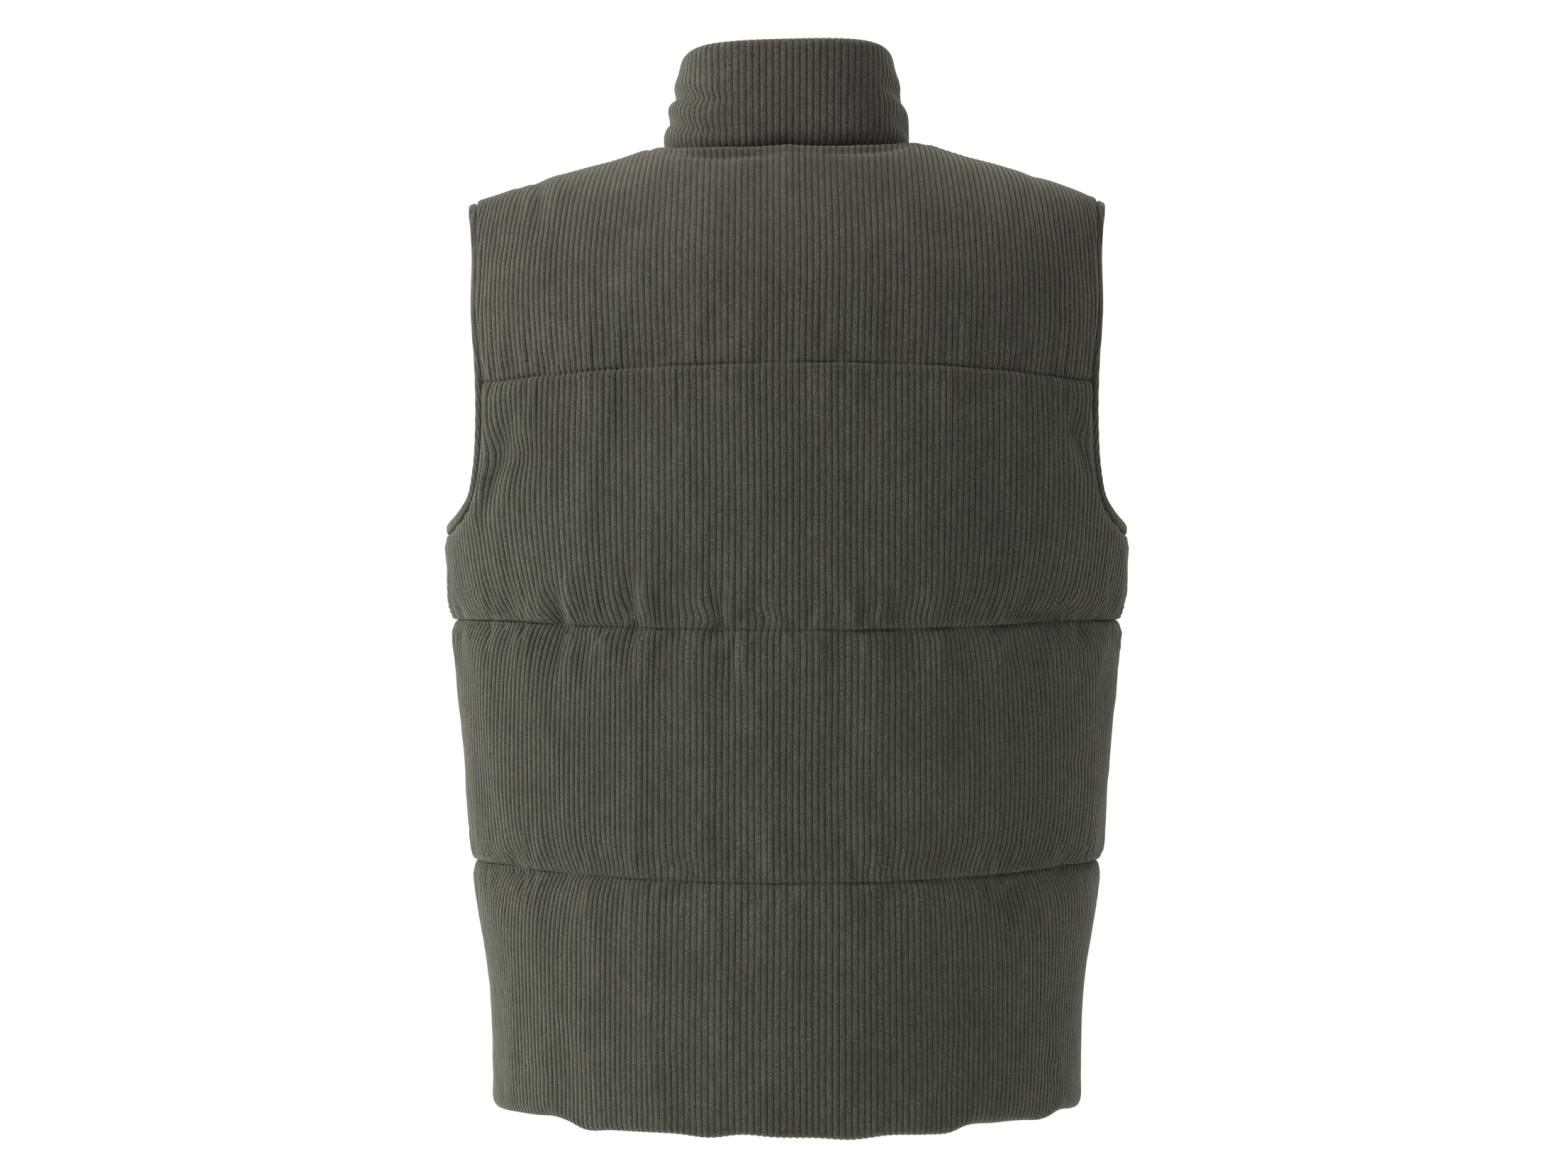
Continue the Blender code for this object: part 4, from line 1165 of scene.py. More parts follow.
def panel_inside(panel, material):
    """A panel's inner cloth, plain and smooth."""
    side = panel.side
    share = np.linspace(0, 1, INSIDE_COLUMNS)
    if side == BACK:
        share = np.concatenate([-share[:0:-1], share])
    edges = channel_edges(side, above_hem=HEM_TURN[0] / 2)
    across_rows, up_rows = [], []
    for number, length in enumerate(CHANNEL_HEIGHTS):
        for part in channel_shares(length)[min(number, 1) :: 2]:
            across = share * quarter(CHEST_LINE, side)
            for _ in range(INSIDE_ROUNDS):
                up = edges[number](across) * (1 - part) + edges[number + 1](across) * part
                start = INSIDE_EDGE if side == FRONT else 0
                across = start + share * (panel_side(up, side) - start)
            across_rows.append(across)
            up_rows.append(up)
    across, up = np.array(across_rows), np.array(up_rows)
    points = padded_point(across, up, np.zeros_like(up), panel._replace(creases=()))
    points = placed(points + form_normal(across, up, side) * INSIDE_LIFT, panel.turned)
    faces, flat = grid_faces(*across.shape), np.stack([across, up], axis=-1)
    over = (side == FRONT) != panel.turned
    add_piece(f"{panel.node}_inside", points, faces, material, flat, panel.node, over)


# ---------------------------------------------------------------- the collar
NECK_LENGTH_STEPS = 721
COLLAR_REACH = 310.0
COLLAR_SIDE_INSET = 2.2
NECK_FLAT_HEIGHT = float(neck_seam(np.array([0.0]))[0, 2])
COLLAR_LENGTH = RIM_BACK_HEIGHT - NECK_FLAT_HEIGHT
# Rows by their distance from the seam, and near the folded edge by their distance from it
COLLAR_FROM_SEAM = (0.6, 2.0, 3.6, 5.6, 8, 10.5, 13, 15.5, 18, 20.5, 23, 25.5, 28, 30.5, 33, 35.5, 38)
COLLAR_FROM_SEAM += (40.5, 43, 46, 50, 54, 58.5, 62.5)
COLLAR_FROM_RIM = (8.5, 6.0, 4.2, 2.8, 1.7, 0.9, 0.35, 0.08)
# The least cloth between two rows, and by how much the inner cloth creases with the outer
FOLD_LEAST, INNER_BENT = 0.8, 0.4
# A narrow end beside the zip: its columns from the outer to the inner cloth, how far it is
# rounded out, and a place round the collar that no crease reaches
END_LAYERS, END_ROUNDING, PAST_CREASES = (1.0, 0.4, -0.4, -1.0), 0.9, 1000.0
# Buckles where the collar turns forward at each side: millimetres round it and up from its seam
COLLAR_CREASES = [
    Crease(22, 31, 138, 47, 4.2, 4.6),
    Crease(56, 45, 150, 61, 5, -1.0),
    Crease(28, 10, 134, 26, 4.0, 4.2),
    Crease(60, 26, 140, 38, 5, -1.6),
    Crease(-62, 44, -136, 30, 5.5, 2.8),
    Crease(-64, 53, -140, 44, 5, -1.0),
    Crease(-76, 15, -136, 4, 4.6, 2.6),
    Crease(-70, 30, -136, 18, 5, -1.4),
    Crease(-104, 60, -128, 22, 4, 1.2),
    Crease(20, 52, 70, 55, 7, 0.8),
    Crease(10, 12, 60, 15, 6, 0.9),
    Crease(-16, 30, -60, 34, 9, 0.7),
    Crease(150, 44, 186, 8, 6, 2.2),
    Crease(-146, 46, -176, 12, 6, 2.4),
    Crease(200, 40, 226, 6, 7, 1.6),
    Crease(-196, 40, -214, 8, 7, 1.8),
]
COLLAR_SWINGS = [
    Swing(92, 35, 30, 9, -4.0),
    Swing(102, 53, 24, 9, 2.5),
    Swing(88, 12, 28, 8, -3.0),
    Swing(-92, 41, 24, 9, 3.5),
    Swing(-96, 15, 24, 8, 3.0),
]


def collar_form(angle, height):
    """The collar's middle surface: angle round the neck, height from 0 at the seam to 1."""
    low = neck_seam(angle)
    x, y = neck_plan(angle, RIM_HALF_WIDTH, RIM_BACK_Y, RIM_FRONT_Y)
    forward = np.maximum(RIM_BACK_Y - y, 0) / (RIM_BACK_Y - RIM_FRONT_Y)
    high = np.stack([x, y, RIM_BACK_HEIGHT - RIM_FRONT_DROP * forward**RIM_DROP_POWER], axis=-1)
    return low + (high - low) * height[..., None]


def collar_normal(angle, height):
    """Outward normals of the collar's middle surface, found over steps of half a hundredth."""
    def surface(turn, level):
        return collar_form(turn / 100, level / 100)

    return outward(surface, angle * 100, height * 100, -1)


def collar_angles(s, levels):
    """The angles round the neck at which ribs at cloth lengths s stand, for each level, and which
    of them lie short of the front edge."""
    fine = np.linspace(0, front_turn(FRONT_EDGE), NECK_LENGTH_STEPS)
    angles, inside = [], []
    for level in levels:
        ring = collar_form(fine, np.full_like(fine, level))
        length = lengths_along(ring)
        angles.append(np.sign(s) * np.interp(np.abs(s), length, fine))
        inside.append(np.abs(s) < length[-1])
    return np.array(angles), np.array(inside)


def collar_point(angle, height, s, layer):
    """A point of the collar's wall: layer 1 is its outer cloth and -1 its inner cloth."""
    from_seam, from_rim = height * COLLAR_LENGTH, (1 - height) * COLLAR_LENGTH
    from_facing = NECK_HALF_WIDTH * (front_turn(ZIP_FACING) - np.abs(angle))
    full = eased(from_seam, COLLAR_RISE) * rounded(from_facing, COLLAR_RISE)
    out = STITCHED_OUT + (COLLAR_HALF_THICKNESS - STITCHED_OUT) * full
    inn = STITCHED_IN - (COLLAR_HALF_THICKNESS + STITCHED_IN) * full
    half = (out - inn) / 2 * rounded(from_rim, COLLAR_HALF_THICKNESS)
    offset = (out + inn) / 2 + half * layer
    bent = creased(s, from_seam, COLLAR_CREASES) - COLLAR_SIDE_INSET * np.sin(angle) ** 4
    offset = offset + bent * full * np.where(layer > 0, 1, INNER_BENT)
    return collar_form(angle, height) + collar_normal(angle, height) * offset[..., None]


def collar_cloth(material):
    """The collar: one cloth from its outer seam up over the folded edge and down to its inner seam."""
    from_seam = list(COLLAR_FROM_SEAM) + [COLLAR_LENGTH - away for away in COLLAR_FROM_RIM]
    outer = np.array(from_seam) / COLLAR_LENGTH
    levels = np.concatenate([outer, [1.0], outer[::-1]])
    layer = np.concatenate([np.ones(len(outer)), [0.0], -np.ones(len(outer))])[:, None]
    s, rib = rib_columns(-COLLAR_REACH, COLLAR_REACH, COLLAR_WALE)
    angle, inside = collar_angles(s, levels)
    height = np.broadcast_to(levels[:, None], angle.shape)
    s_grid = np.broadcast_to(s, angle.shape)
    for swing in COLLAR_SWINGS:
        angle = angle + swung(swing, s_grid, height * COLLAR_LENGTH) / NECK_HALF_WIDTH
    points = collar_point(angle, height, s_grid, np.broadcast_to(layer, angle.shape))
    # Each rib stands out of the wall on its own side of it
    normals = grid_normals(points)
    sign = np.sign((normals * collar_normal(angle, height)).sum(-1) * layer)[..., None]
    normals = normals * np.where(sign == 0, 1, sign)
    points = points + normals * (RELIEF * (rib - RIB_LEVEL))[None, :, None]
    faces = grid_faces(*angle.shape, kept_faces(inside, np.ones_like(inside)))
    along = np.broadcast_to(fold_lengths(levels)[:, None], s_grid.shape)
    flat = np.stack([s_grid * WALE / COLLAR_WALE, along], axis=-1)
    points, flat = points.reshape(-1, 3), flat.reshape(-1, 2)
    for end in (-1, 1):
        cap, cap_faces = collar_end(end, levels)
        faces = np.concatenate([faces, cap_faces + len(points)])
        points = np.concatenate([points, cap])
        flat = np.concatenate([flat, np.zeros((len(cap), 2))])
    add_piece("collar_cloth", settled(points), faces, material, flat, "collar")


def fold_lengths(levels):
    """How far along the cloth each of the collar's rows lies, over the fold."""
    step = np.abs(np.diff(levels)) * COLLAR_LENGTH
    return np.concatenate([[0], np.cumsum(np.maximum(step, FOLD_LEAST))])


def collar_end(end, levels):
    """The collar's narrow end beside the zip, from its outer cloth round to its inner cloth."""
    count = len(levels) // 2 + 1
    height = np.repeat(levels[:count, None], len(END_LAYERS), axis=1)
    angle = np.full_like(height, end * front_turn(FRONT_EDGE))
    layer = np.broadcast_to(END_LAYERS, height.shape)
    points = collar_point(angle, height, np.full_like(height, end * PAST_CREASES), layer)
    points[:, 1:-1, 0] -= end * END_ROUNDING
    faces = grid_faces(count, len(END_LAYERS))
    return points.reshape(-1, 3), faces if end > 0 else faces[:, ::-1]


# ---------------------------------------------------------------- the armhole bindings
BAND_WALE = 3.8
BAND_STEP = 0.8
BAND_ROUND = 36
BAND_SMOOTHING = 14
BAND_SLANT = 0.34
BAND_UPRIGHT_FROM = 60.0
BAND_FULLNESS = 0.55
BAND_LIFT, BAND_LIFT_FROM, BAND_LIFT_FULL = 3.2, 120.0, 200.0
BAND_TIP_DROP, BAND_TIP_REACH = 2.4, 18.0
BAND_RELIEF = 0.7


def armhole_loop():
    """The armhole's seam all round: its points, its outward, sideways and upward directions, and
    its cloth lengths across and up."""
    parts = []
    tips = [ARMHOLES[side][-1, 0] for side in (BACK, FRONT)]
    turned_by = sum(tips) - 2 * quarter(CHEST_LINE, BACK)
    for side, order in ((BACK, slice(None)), (FRONT, slice(-2, 0, -1))):
        across, up = ARMHOLES[side][order].T
        right = form(across + 1, up, side) - form(across - 1, up, side)
        rise = form(across, up + 1, side) - form(across, up - 1, side)
        # The ribs run on from the back to the front, both under the arm and over the shoulder
        share = (up - up.min()) / (up.max() - up.min())
        on = 2 * quarter(CHEST_LINE, BACK) - across + turned_by * share
        on = across if side == BACK else on
        parts.append(
            np.concatenate(
                [
                    form(across, up, side),
                    form_normal(across, up, side),
                    unit(side * right),
                    unit(rise),
                    np.stack([on, up], axis=-1),
                ],
                axis=-1,
            )
        )
    loop = np.concatenate(parts)
    loop = np.concatenate([loop, loop[:1]])
    length = lengths_along(loop[:, :3])
    loop = even(loop, length, np.arange(0, length[-1] - BAND_STEP / 2, BAND_STEP))
    points, normals, right, rise, lengths = np.split(loop, (3, 6, 9, 12), axis=1)
    return points, rolling(normals), rolling(right), rolling(rise), *lengths.T


def rolling(values):
    """Values along a closed line, averaged with their neighbours."""
    total = np.zeros_like(values)
    for shift in range(-BAND_SMOOTHING, BAND_SMOOTHING + 1):
        total += np.roll(values, shift, axis=0)
    return total / (2 * BAND_SMOOTHING + 1)


def rib_height(place, pitch):
    """How high a rib stands at a place across the ribs."""
    share = place / pitch % 1
    return np.interp(share, [rib.place for rib in RIB] + [1.0], [rib.height for rib in RIB] + [0.0])


def armhole_band(side_name, mirror, material):
    """A soft binding round an armhole, whose ribs stand nearly upright as the panels' do."""
    points, normals, right, up, across, height = armhole_loop()
    along = unit(rolling(np.roll(points, -1, axis=0) - np.roll(points, 1, axis=0)))
    into_hole = unit(np.cross(normals, along))
    normals = np.cross(along, into_hole)
    centre = points + into_hole * (BAND_HALF_WIDTH - SEAM_LAP)
    lift = BAND_LIFT * ramp(height, BAND_LIFT_FROM, BAND_LIFT_FULL)
    tip = np.exp(-(((points[:, 1] - SHOULDER_SEAM_Y) / BAND_TIP_REACH) ** 2)) * (height > 0)
    lift -= BAND_TIP_DROP * tip
    centre += normals * ((STITCHED_OUT + STITCHED_IN) / 2 + lift)[:, None]
    # Round the roll, from its seam over its outer side and back to the seam
    turn = pi - 2 * pi * np.arange(BAND_ROUND + 1) / BAND_ROUND
    wide, high = (
        (np.sign(way) * np.abs(way) ** BAND_FULLNESS)[None, :, None]
        for way in (np.cos(turn), np.sin(turn))
    )
    rings = centre[:, None] + into_hole[:, None] * BAND_HALF_WIDTH * wide
    rings = rings + normals[:, None] * BAND_HALF_THICKNESS * high
    outward_way = into_hole[:, None] * wide * BAND_HALF_THICKNESS
    outward_way = unit(outward_way + normals[:, None] * high * BAND_HALF_WIDTH)
    # Cloth lengths across and up at each point, counted over the roll from its outermost line
    over = (pi / 2 - turn) * (BAND_HALF_WIDTH + BAND_HALF_THICKNESS) / 2
    to_right = (into_hole * right).sum(-1)[:, None] * over
    to_top = (into_hole * up).sum(-1)[:, None] * over
    steep = np.minimum(height[:, None] + to_top, BAND_UPRIGHT_FROM)
    place = across[:, None] + to_right - BAND_SLANT * steep
    relief = BAND_RELIEF * (rib_height(place, BAND_WALE) - RIB_LEVEL)
    rings = placed(rings + outward_way * relief[..., None], mirror)
    rings = np.concatenate([rings, rings[:1]])
    flat = np.stack([place * WALE / BAND_WALE, height[:, None] + to_top], axis=-1)
    flat = np.concatenate([flat, flat[:1]])
    faces = grid_faces(len(rings), BAND_ROUND + 1)
    node = f"armhole_band_{side_name}"
    add_piece(f"{node}_cloth", rings, faces, material, flat, node, mirror)


# ---------------------------------------------------------------- the zip
TAPE_INNER_EDGE = 0.4
# Where a tape starts above the hem and stops below the neck, and then from what share of the
# collar's height up to what share it runs
TAPE_FOOT, TAPE_BELOW_NECK = 0.5, 1.0
TAPE_COLLAR_FROM, TAPE_HEAD = 0.03, 0.94
TAPE_COLUMNS = 6
TAPE_STEP = 4.0
TOOTH_PITCH = 3.0
TOOTH_WIDTH, TOOTH_HEIGHT, TOOTH_DEPTH = 3.1, 1.5, 2.2
SLIDER_BELOW_RIM = 16.0
# Where the first tooth lies, how far short of the slider the last one ends, and how far each
# tooth lies to its own side of the middle
TOOTH_FIRST, TOOTH_LAST, TOOTH_ASIDE = 2.0, 4.0, 0.9


def zip_line(across, more):
    """The zip's line at a distance from the middle: points up the front and on up the collar, with
    the outward directions there."""
    neck_up = float(panel_top(np.array(0.0), FRONT))
    up = np.arange(HEM - CHEST_LINE + TAPE_FOOT, neck_up - TAPE_BELOW_NECK, more)
    low = form(np.full_like(up, across), up, FRONT)
    low_normal = form_normal(np.full_like(up, across), up, FRONT)
    length = np.linalg.norm(np.diff(collar_form(np.full(2, pi), np.array([0.0, 1.0])), axis=0))
    level = np.arange(TAPE_COLLAR_FROM, TAPE_HEAD, more / length)
    turn = np.full_like(level, front_turn(across))
    points = np.concatenate([low, collar_form(turn, level)])
    return points, np.concatenate([low_normal, collar_normal(turn, level)])


def zip_tape(side_name, mirror, material):
    """A woven tape: a thin closed strip behind the front's edge."""
    across = np.linspace(TAPE_INNER_EDGE, ZIP_FACING, TAPE_COLUMNS)
    lines = [zip_line(a, TAPE_STEP) for a in across]
    points = np.stack([line[0] for line in lines], axis=1)
    normals = np.stack([line[1] for line in lines], axis=1)
    half = TAPE_THICKNESS / 2
    outer, inner = points + normals * (TAPE_DEPTH + half), points + normals * (TAPE_DEPTH - half)
    ring = np.concatenate([outer, inner[:, ::-1]], axis=1)
    rows, columns = ring.shape[:2]
    faces = grid_faces(rows, columns, closed=True)
    place = np.concatenate([across, across[::-1]])
    along = np.broadcast_to(np.arange(rows)[:, None] * TAPE_STEP, (rows, columns))
    flat = np.stack([np.broadcast_to(place, (rows, columns)), along], axis=-1)
    ends = []
    for row in (0, rows - 1):
        for k in range(TAPE_COLUMNS - 1):
            face = [k, columns - 1 - k, columns - 2 - k, k + 1]
            ends.append([row * columns + v for v in (face if row == 0 else face[::-1])])
    faces = np.concatenate([faces.reshape(-1, 4), ends])
    node = f"zip_tape_{side_name}"
    ring = placed(ring, mirror)
    add_piece(f"{node}_cloth", ring, faces, material, flat, node, mirror)


def rounded_bar(half_sizes, power, around, along):
    """A closed bar with soft edges about the origin, longest along its first direction: its points
    and faces."""
    turn = 2 * pi * np.arange(around) / around
    tilt = np.linspace(-pi / 2, pi / 2, along)
    lengthways = np.sign(np.sin(tilt)) * np.abs(np.sin(tilt)) ** power
    size = np.maximum(np.cos(tilt), 0) ** power
    wide = np.sign(np.cos(turn)) * np.abs(np.cos(turn)) ** power
    high = np.sign(np.sin(turn)) * np.abs(np.sin(turn)) ** power
    points = np.stack(
        [
            np.broadcast_to(lengthways[:, None], (along, around)),
            size[:, None] * wide,
            size[:, None] * high,
        ],
        axis=-1,
    )
    return (points * half_sizes).reshape(-1, 3), grid_faces(along, around, closed=True)


def array_of(name, shape, places, material):
    """One mesh of many copies of a shape; each place is a point and three directions."""
    base, faces = shape
    points = np.concatenate([origin + base @ axes for origin, axes in places])
    steps = np.arange(len(places))[:, None, None] * len(base)
    add_piece(name, points, (faces[None] + steps).reshape(-1, 4), material)


def zip_teeth(material):
    """The closed teeth: small bars that reach over the middle from either tape in turn."""
    points, normals = zip_line(0.0, TOOTH_PITCH / 2)
    length = lengths_along(points)
    at = np.arange(TOOTH_FIRST, length[-1] - SLIDER_BELOW_RIM - TOOTH_LAST, TOOTH_PITCH / 2)
    normals = even(normals, length, at)
    points = settled(even(points, length, at) + normals * TAPE_DEPTH)
    across = np.array([1.0, 0, 0])
    places = []
    for number, (point, normal) in enumerate(zip(points, unit(normals))):
        from_middle = across * (TOOTH_ASIDE if number % 2 else -TOOTH_ASIDE)
        axes = np.array([across, np.cross(normal, across), normal])
        places.append((point + from_middle, axes))
    half = np.array([TOOTH_WIDTH, TOOTH_HEIGHT, TOOTH_DEPTH]) / 2
    tooth = rounded_bar(half, power=0.5, around=12, along=8)
    array_of("zip_teeth", tooth, places, material)


# ---------------------------------------------------------------- the stitches
STITCH_LENGTH, STITCH_PITCH, STITCH_HALF_WIDTH = 2.4, 3.3, 0.2
# A line of stitches is worked out at this many places, or at this step in millimetres, and
# stops a little short of the side seam
STITCH_POINTS, STITCH_STEP, STITCH_SHORT = 300, 2.0, 1.0


def stitch_places(points, normals, turned):
    """Where stitches lie along a line of points."""
    points = placed(points, turned)
    normals = normals * np.array([-1, 1, 1]) if turned else normals
    length = lengths_along(points)
    at = np.arange(STITCH_PITCH, length[-1] - STITCH_PITCH / 2, STITCH_PITCH)
    ahead = unit(even(points, length, at + 0.5) - even(points, length, at - 0.5))
    aside = unit(np.cross(even(normals, length, at), ahead))
    axes = np.stack([ahead, aside, np.cross(ahead, aside)], axis=1)
    return list(zip(even(points, length, at), axes))


def panel_stitches(panel):
    """The quilting stitches of a panel, and a front's stitches beside the zip."""
    side = panel.side
    places = []
    for line in lines_of(side):
        start, end = ZIP_FACING if side == FRONT else 0, quarter(CHEST_LINE, side)
        across = np.linspace(start, end, STITCH_POINTS)
        up = line_up(line, across)
        across = across[across < panel_side(up, side) - STITCH_SHORT]
        up = line_up(line, across)
        for way in (1, -1) if side == BACK else (1,):
            out = form_normal(across * way, up, side)
            full = padding(across[None] * way, up[None], side)[0]
            level = STITCHED_OUT + (CREST_OUT - STITCHED_OUT) * full
            points = form(across * way, up, side) + out * level[:, None]
            places += stitch_places(points, out, panel.turned)
    if side == FRONT:
        points, out = zip_line(ZIP_FACING, STITCH_STEP)
        places += stitch_places(points + out * STITCHED_OUT, out, panel.turned)
    return places


def quilting_stitches(material):
    """The stitches of all three panels, each a short length of thread half sunk in the cloth."""
    half = np.array([STITCH_LENGTH / 2, STITCH_HALF_WIDTH, STITCH_HALF_WIDTH])
    stitch = rounded_bar(half, power=0.8, around=6, along=6)
    places = [place for panel in PANELS for place in panel_stitches(panel)]
    array_of("quilting_stitches", stitch, places, material)


# ---------------------------------------------------------------- materials
def linear(hex_colour):
    """An sRGB hex colour as linear red, green, blue and alpha."""
    parts = [int(hex_colour[k : k + 2], 16) / 255 for k in (0, 2, 4)]
    return [c / 12.92 if c <= 0.04045 else ((c + 0.055) / 1.055) ** 2.4 for c in parts] + [1]


def set_inputs(tree, node, inputs):
    """A node's inputs, in order or by name, as values or as links from other nodes' outputs."""
    for socket, value in inputs.items() if isinstance(inputs, dict) else enumerate(inputs):
        if isinstance(value, bpy.types.NodeSocket):
            tree.links.new(value, node.inputs[socket])
        else:
            node.inputs[socket].default_value = value


def add_node(tree, kind, inputs=(), output=0, **settings):
    """Adds a shader node with its settings and its inputs, and gives one of its outputs."""
    node = tree.nodes.new(f"ShaderNode{kind}")
    for name, value in settings.items():
        setattr(node, name, value)
    set_inputs(tree, node, inputs)
    return node.outputs[output]


# The sockets of a mix of two colours, and of a vector's scale, among the node's other sockets
SHARE, FIRST, SECOND, MIXED = 0, 6, 7, 2
VECTOR, SCALE = 0, 3


def spots(tree, place, size, detail=2.0, roughness=0.5, levels=None):
    """A pattern of soft spots from 0 to 1, sized in millimetres across, up and through. Levels
    move it: from a low and a high value, to a low and a high one."""
    scale = [1 / (part * MM) for part in size]
    place = add_node(tree, "VectorMath", [place, scale], operation="MULTIPLY")
    inputs = {"Vector": place, "Scale": 1.0, "Detail": detail, "Roughness": roughness}
    value = add_node(tree, "TexNoise", inputs)
    return add_node(tree, "MapRange", [value, *levels]) if levels else value


def new_material(name):
    material = bpy.data.materials.new(name)
    material.use_nodes = True
    return material, material.node_tree, material.node_tree.nodes["Principled BSDF"]


def corduroy(name, green, brown, tips, sheen):
    """Cotton corduroy, cut pile on a woven ground: the pile was cut and brushed up into round
    cords, so their tops scatter light softly and catch it at a glancing angle, the fibre ends
    show as short pale specks along the cords, and painted shade darkens the furrows between them."""
    material, tree, shader = new_material(name)
    cloth = add_node(tree, "UVMap", uv_map="cloth")
    place = add_node(tree, "TexCoord", output="Object")
    across = add_node(tree, "SeparateXYZ", [cloth])
    half = WALE / 2 * MM
    rib = add_node(tree, "Math", [across, half], operation="PINGPONG")
    # How far a place stands out of the furrow, which is a seventh of a rib wide on each side
    levels = [half * 0.02, half * 0.3, 0, 1]
    crest = add_node(tree, "MapRange", [rib, *levels], interpolation_type="SMOOTHSTEP")
    # Washed unevenly: broad patches of a greener and a browner grey, browner at the top
    height = add_node(tree, "SeparateXYZ", [place], 2)
    fading = add_node(tree, "MapRange", [height, -0.26, -0.06, -0.18, 0.24])
    patches = spots(tree, place, (34, 34, 34), detail=3)
    patches = add_node(tree, "Math", [patches, fading], operation="ADD")
    browner = add_node(tree, "MapRange", [patches, 0.2, 0.8, 0, 1])
    inputs = {SHARE: browner, FIRST: linear(green), SECOND: linear(brown)}
    ground = add_node(tree, "Mix", inputs, MIXED, data_type="RGBA")
    # Fibre ends, drawn along the cords, where the pile is brushed up more and less
    brushed = spots(tree, cloth, (17, 38, 1), detail=4, roughness=0.6, levels=(0.35, 0.65, 0.74, 1.18))
    ends = spots(tree, cloth, (0.55, 1.5, 1), detail=1, roughness=0.6, levels=(0.38, 0.7, 0, 1))
    pale = add_node(tree, "Math", [crest, brushed], operation="MULTIPLY")
    pale = add_node(tree, "Math", [pale, ends], operation="MULTIPLY")
    inputs = {SHARE: pale, FIRST: ground, SECOND: linear(tips)}
    colour = add_node(tree, "Mix", inputs, MIXED, data_type="RGBA")
    washed = spots(tree, place, (52, 52, 80), levels=(0.3, 0.7, 0.92, 1.08))
    # Pile pressed down in short lengths of single ribs
    pressed = spots(tree, cloth, (3.4, 11, 1), detail=4, roughness=0.8, levels=(0.3, 0.7, 0.72, 1.28))
    # Painted shade: the colour is darkened to two thirds in the furrows, on top of the ribs' own
    # relief; the washed patches and the pressed pile then vary its tone at random
    light = add_node(tree, "MapRange", [crest, 0, 1, 0.68, 1])
    light = add_node(tree, "Math", [light, washed], operation="MULTIPLY")
    light = add_node(tree, "Math", [light, pressed], operation="MULTIPLY")
    lit = add_node(tree, "VectorMath", {VECTOR: colour, SCALE: light}, operation="SCALE")
    pile = spots(tree, cloth, (0.5, 1.3, 1), detail=3, roughness=0.7)
    bump = add_node(tree, "Bump", {"Height": pile, "Strength": 0.7, "Distance": 0.4 * MM})
    look = {"Base Color": lit, "Roughness": 0.92, "Specular IOR Level": 0.12, "Normal": bump}
    set_inputs(tree, shader, look)
    glance = {"Sheen Weight": sheen, "Sheen Roughness": 0.45, "Sheen Tint": linear("D4D2BE")}
    set_inputs(tree, shader, glance)
    return material


def plain_weave(name, colour, second, thread, glance):
    """A plain or twill weave: threads over and under each other in even steps, seen as a fine
    chequer of small bumps, with painted shade between them darkening the colour. Its threads are
    drawn coarser than real ones, so that they show."""
    material, tree, shader = new_material(name)
    cloth = add_node(tree, "UVMap", uv_map="cloth")
    half = thread / 2 * MM
    ways = add_node(tree, "SeparateXYZ", [cloth]).node.outputs[:2]
    ways = [add_node(tree, "Math", [way, half], operation="PINGPONG") for way in ways]
    levels, kind = [0, half * 0.7, 0.55, 1], "SMOOTHSTEP"
    ways = [add_node(tree, "MapRange", [way, *levels], interpolation_type=kind) for way in ways]
    weave = add_node(tree, "Math", ways, operation="MULTIPLY")
    worn = spots(tree, cloth, (18, 18, 1), detail=3, levels=(0.3, 0.7, 0.9, 1.1))
    inputs = {SHARE: spots(tree, cloth, (0.5, 6, 1)), FIRST: linear(colour), SECOND: linear(second)}
    threads = add_node(tree, "Mix", inputs, MIXED, data_type="RGBA")
    # Painted shade: the chequer darkens the colour between the threads as well as bumping them; the
    # worn patches are the cloth's own tone
    light = add_node(tree, "Math", [weave, worn], operation="MULTIPLY")
    lit = add_node(tree, "VectorMath", {VECTOR: threads, SCALE: light}, operation="SCALE")
    bump = add_node(tree, "Bump", {"Height": weave, "Strength": 0.5, "Distance": 0.2 * MM})
    look = {"Base Color": lit, "Roughness": 0.8, "Specular IOR Level": 0.25, "Normal": bump}
    set_inputs(tree, shader, {**look, "Sheen Weight": glance})
    return material


def zip_metal(name):
    """Zinc, die-cast, tumbled and then blackened: a dark satin coat whose soft highlights are
    broken by fine scuffs, rubbed through here and there to the paler grey below."""
    material, tree, shader = new_material(name)
    place = add_node(tree, "TexCoord", output="Object")
    worn = spots(tree, place, (2, 2, 2), detail=4, roughness=0.65, levels=(0.5, 0.72, 0, 1))
    inputs = {SHARE: worn, FIRST: linear("302F2D"), SECOND: linear("6E6C68")}
    colour = add_node(tree, "Mix", inputs, MIXED, data_type="RGBA")
    scuffs = spots(tree, place, (0.4, 0.4, 1.6), detail=3)
    dull = add_node(tree, "MapRange", [scuffs, 0.3, 0.7, 0.26, 0.44])
    bump = add_node(tree, "Bump", {"Height": scuffs, "Strength": 0.15, "Distance": 0.1 * MM})
    look = {"Base Color": colour, "Metallic": 1.0, "Roughness": dull, "Normal": bump}
    set_inputs(tree, shader, look)
    return material


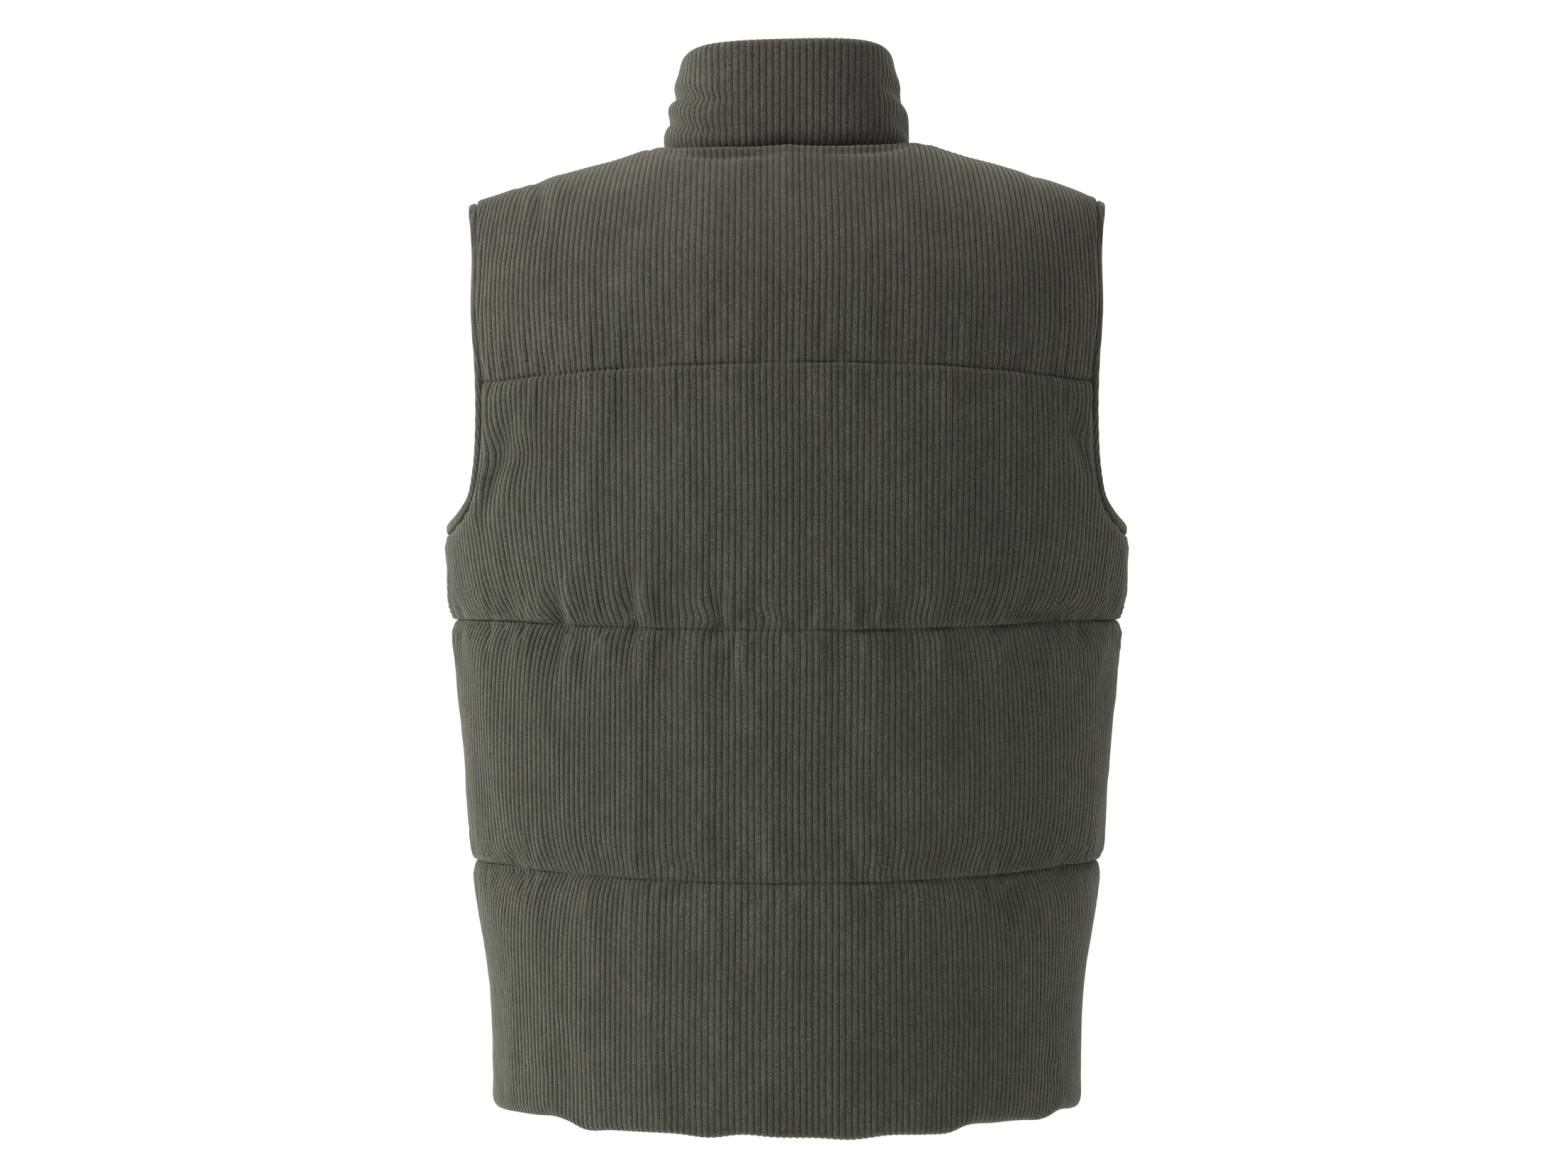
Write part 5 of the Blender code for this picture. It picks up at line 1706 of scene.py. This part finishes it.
def thread_finish(name):
    """Spun sewing thread, dyed to match, of two strands twisted: the light and dark of the twist is
    painted into its colour as soft spots of shade.
    """
    material, tree, shader = new_material(name)
    place = add_node(tree, "TexCoord", output="Object")
    # Painted shade: a darker and a lighter copy of the thread's colour, in soft spots, stand in for the
    # light and shade on its twisted strands
    painted_ply_shade = spots(tree, place, (0.35, 0.35, 0.35), detail=1)
    inputs = {SHARE: painted_ply_shade, FIRST: linear("45453E"), SECOND: linear("5C5B51")}
    colour = add_node(tree, "Mix", inputs, MIXED, data_type="RGBA")
    set_inputs(tree, shader, {"Base Color": colour, "Roughness": 0.7})
    return material


# ---------------------------------------------------------------- the vest
CORD = corduroy("olive_grey_cotton_corduroy", "3C4036", "443F3A", "6A6B62", 0.55)
BIND = corduroy("olive_grey_corduroy_binding", "3A3D34", "413D37", "65665D", 0.55)
INSIDE = plain_weave("olive_cotton_weave_inside", "33342D", "3C3B33", 0.9, 0.1)
TAPE = plain_weave("black_olive_zip_tape_weave", "23241F", "2C2C26", 0.7, 0.05)
METAL = zip_metal("blackened_zinc")
THREAD = thread_finish("olive_sewing_thread")

for panel in PANELS:
    panel_cloth(panel, CORD)
for panel in PANELS:
    panel_inside(panel, INSIDE)
collar_cloth(CORD)
# The right side's bindings and tapes are the left side's turned over
SIDES = (("left", False), ("right", True))
for side_name, mirror in SIDES:
    armhole_band(side_name, mirror, BIND)
for side_name, mirror in SIDES:
    zip_tape(side_name, mirror, TAPE)
zip_teeth(METAL)
quilting_stitches(THREAD)
for node in ("zip_slider", "zip_pull_tab", "zip_box"):
    for slot in bpy.data.objects[node].material_slots:
        slot.material = METAL

# ---------------------------------------------------------------- the studio
# A square white floor below the vest: half its width and its height, in metres
FLOOR_HALF, FLOOR_HEIGHT = 3, -1.45
floor_mesh = bpy.data.meshes.new("studio_floor")
corners = [(x * FLOOR_HALF, y * FLOOR_HALF) for x, y in ((-1, -1), (1, -1), (1, 1), (-1, 1))]
floor_mesh.from_pydata([(x, y, FLOOR_HEIGHT) for x, y in corners], [], [(0, 1, 2, 3)])
floor = add_object("studio_floor", floor_mesh)
white, tree, shader = new_material("matt_white_floor")
set_inputs(tree, shader, {"Base Color": linear("F2F2F0"), "Roughness": 0.9})
floor_mesh.materials.append(white)

world = bpy.data.worlds.new("studio")
world.use_nodes = True
bpy.context.scene.world = world
tree = world.node_tree
# The room is lit from above and from the vest's left, and the backdrop behind the vest is white
ROOM_LIT_FROM = (0.55, 0.0, 0.835)
way = add_node(tree, "TexCoord", output="Generated")
towards = add_node(tree, "VectorMath", [way, ROOM_LIT_FROM], "Value", operation="DOT_PRODUCT")
room = add_node(tree, "MapRange", [towards, -1, 1, 0, 0.9])
room = add_node(tree, "Math", [room, room], operation="MULTIPLY")
behind = add_node(tree, "SeparateXYZ", [way], 1)
behind = add_node(tree, "MapRange", [behind, -0.4, 0.1, 0.85, 0])
strength = add_node(tree, "Math", [room, behind], operation="ADD")
seen = add_node(tree, "LightPath", output="Is Camera Ray")
brightness = add_node(tree, "Math", [strength, seen], operation="MAXIMUM")
set_inputs(tree, tree.nodes["Background"], {"Strength": brightness, "Color": (1, 1, 1, 1)})


def soft_light(name, place, aim, size, power):
    """A square softbox that faces a point."""
    light = bpy.data.lights.new(name, "AREA")
    light.size, light.energy = size, power
    lamp = add_object(name, light)
    lamp.location = place
    lamp.rotation_euler = (Vector(aim) - Vector(place)).to_track_quat("-Z", "Y").to_euler()


soft_light("key_light", (2.4, 1.3, 1.5), (0, 0, -0.2), 0.9, 60)
soft_light("rim_light", (2.6, -1.3, -0.2), (0, 0, -0.3), 1.2, 32)
soft_light("right_light", (-2.6, 0.5, 0.1), (0, 0, -0.3), 1.0, 4.5)
soft_light("front_light", (-1.6, -3.0, 0.8), (0, 0, -0.3), 1.6, 20)
bpy.context.scene.view_settings.view_transform = "Standard"

camera = bpy.data.cameras.new("camera")
camera.lens = 82.7
camera.sensor_width = 36
eye = add_object("camera", camera)
eye.location = (0.002, 2.54, -0.311)
eye.rotation_euler = (radians(90), 0, radians(180))
bpy.context.scene.camera = eye


# ---------------------------------------------------------------- a cut's width, length and area
Cut = namedtuple("Cut", "width length area")
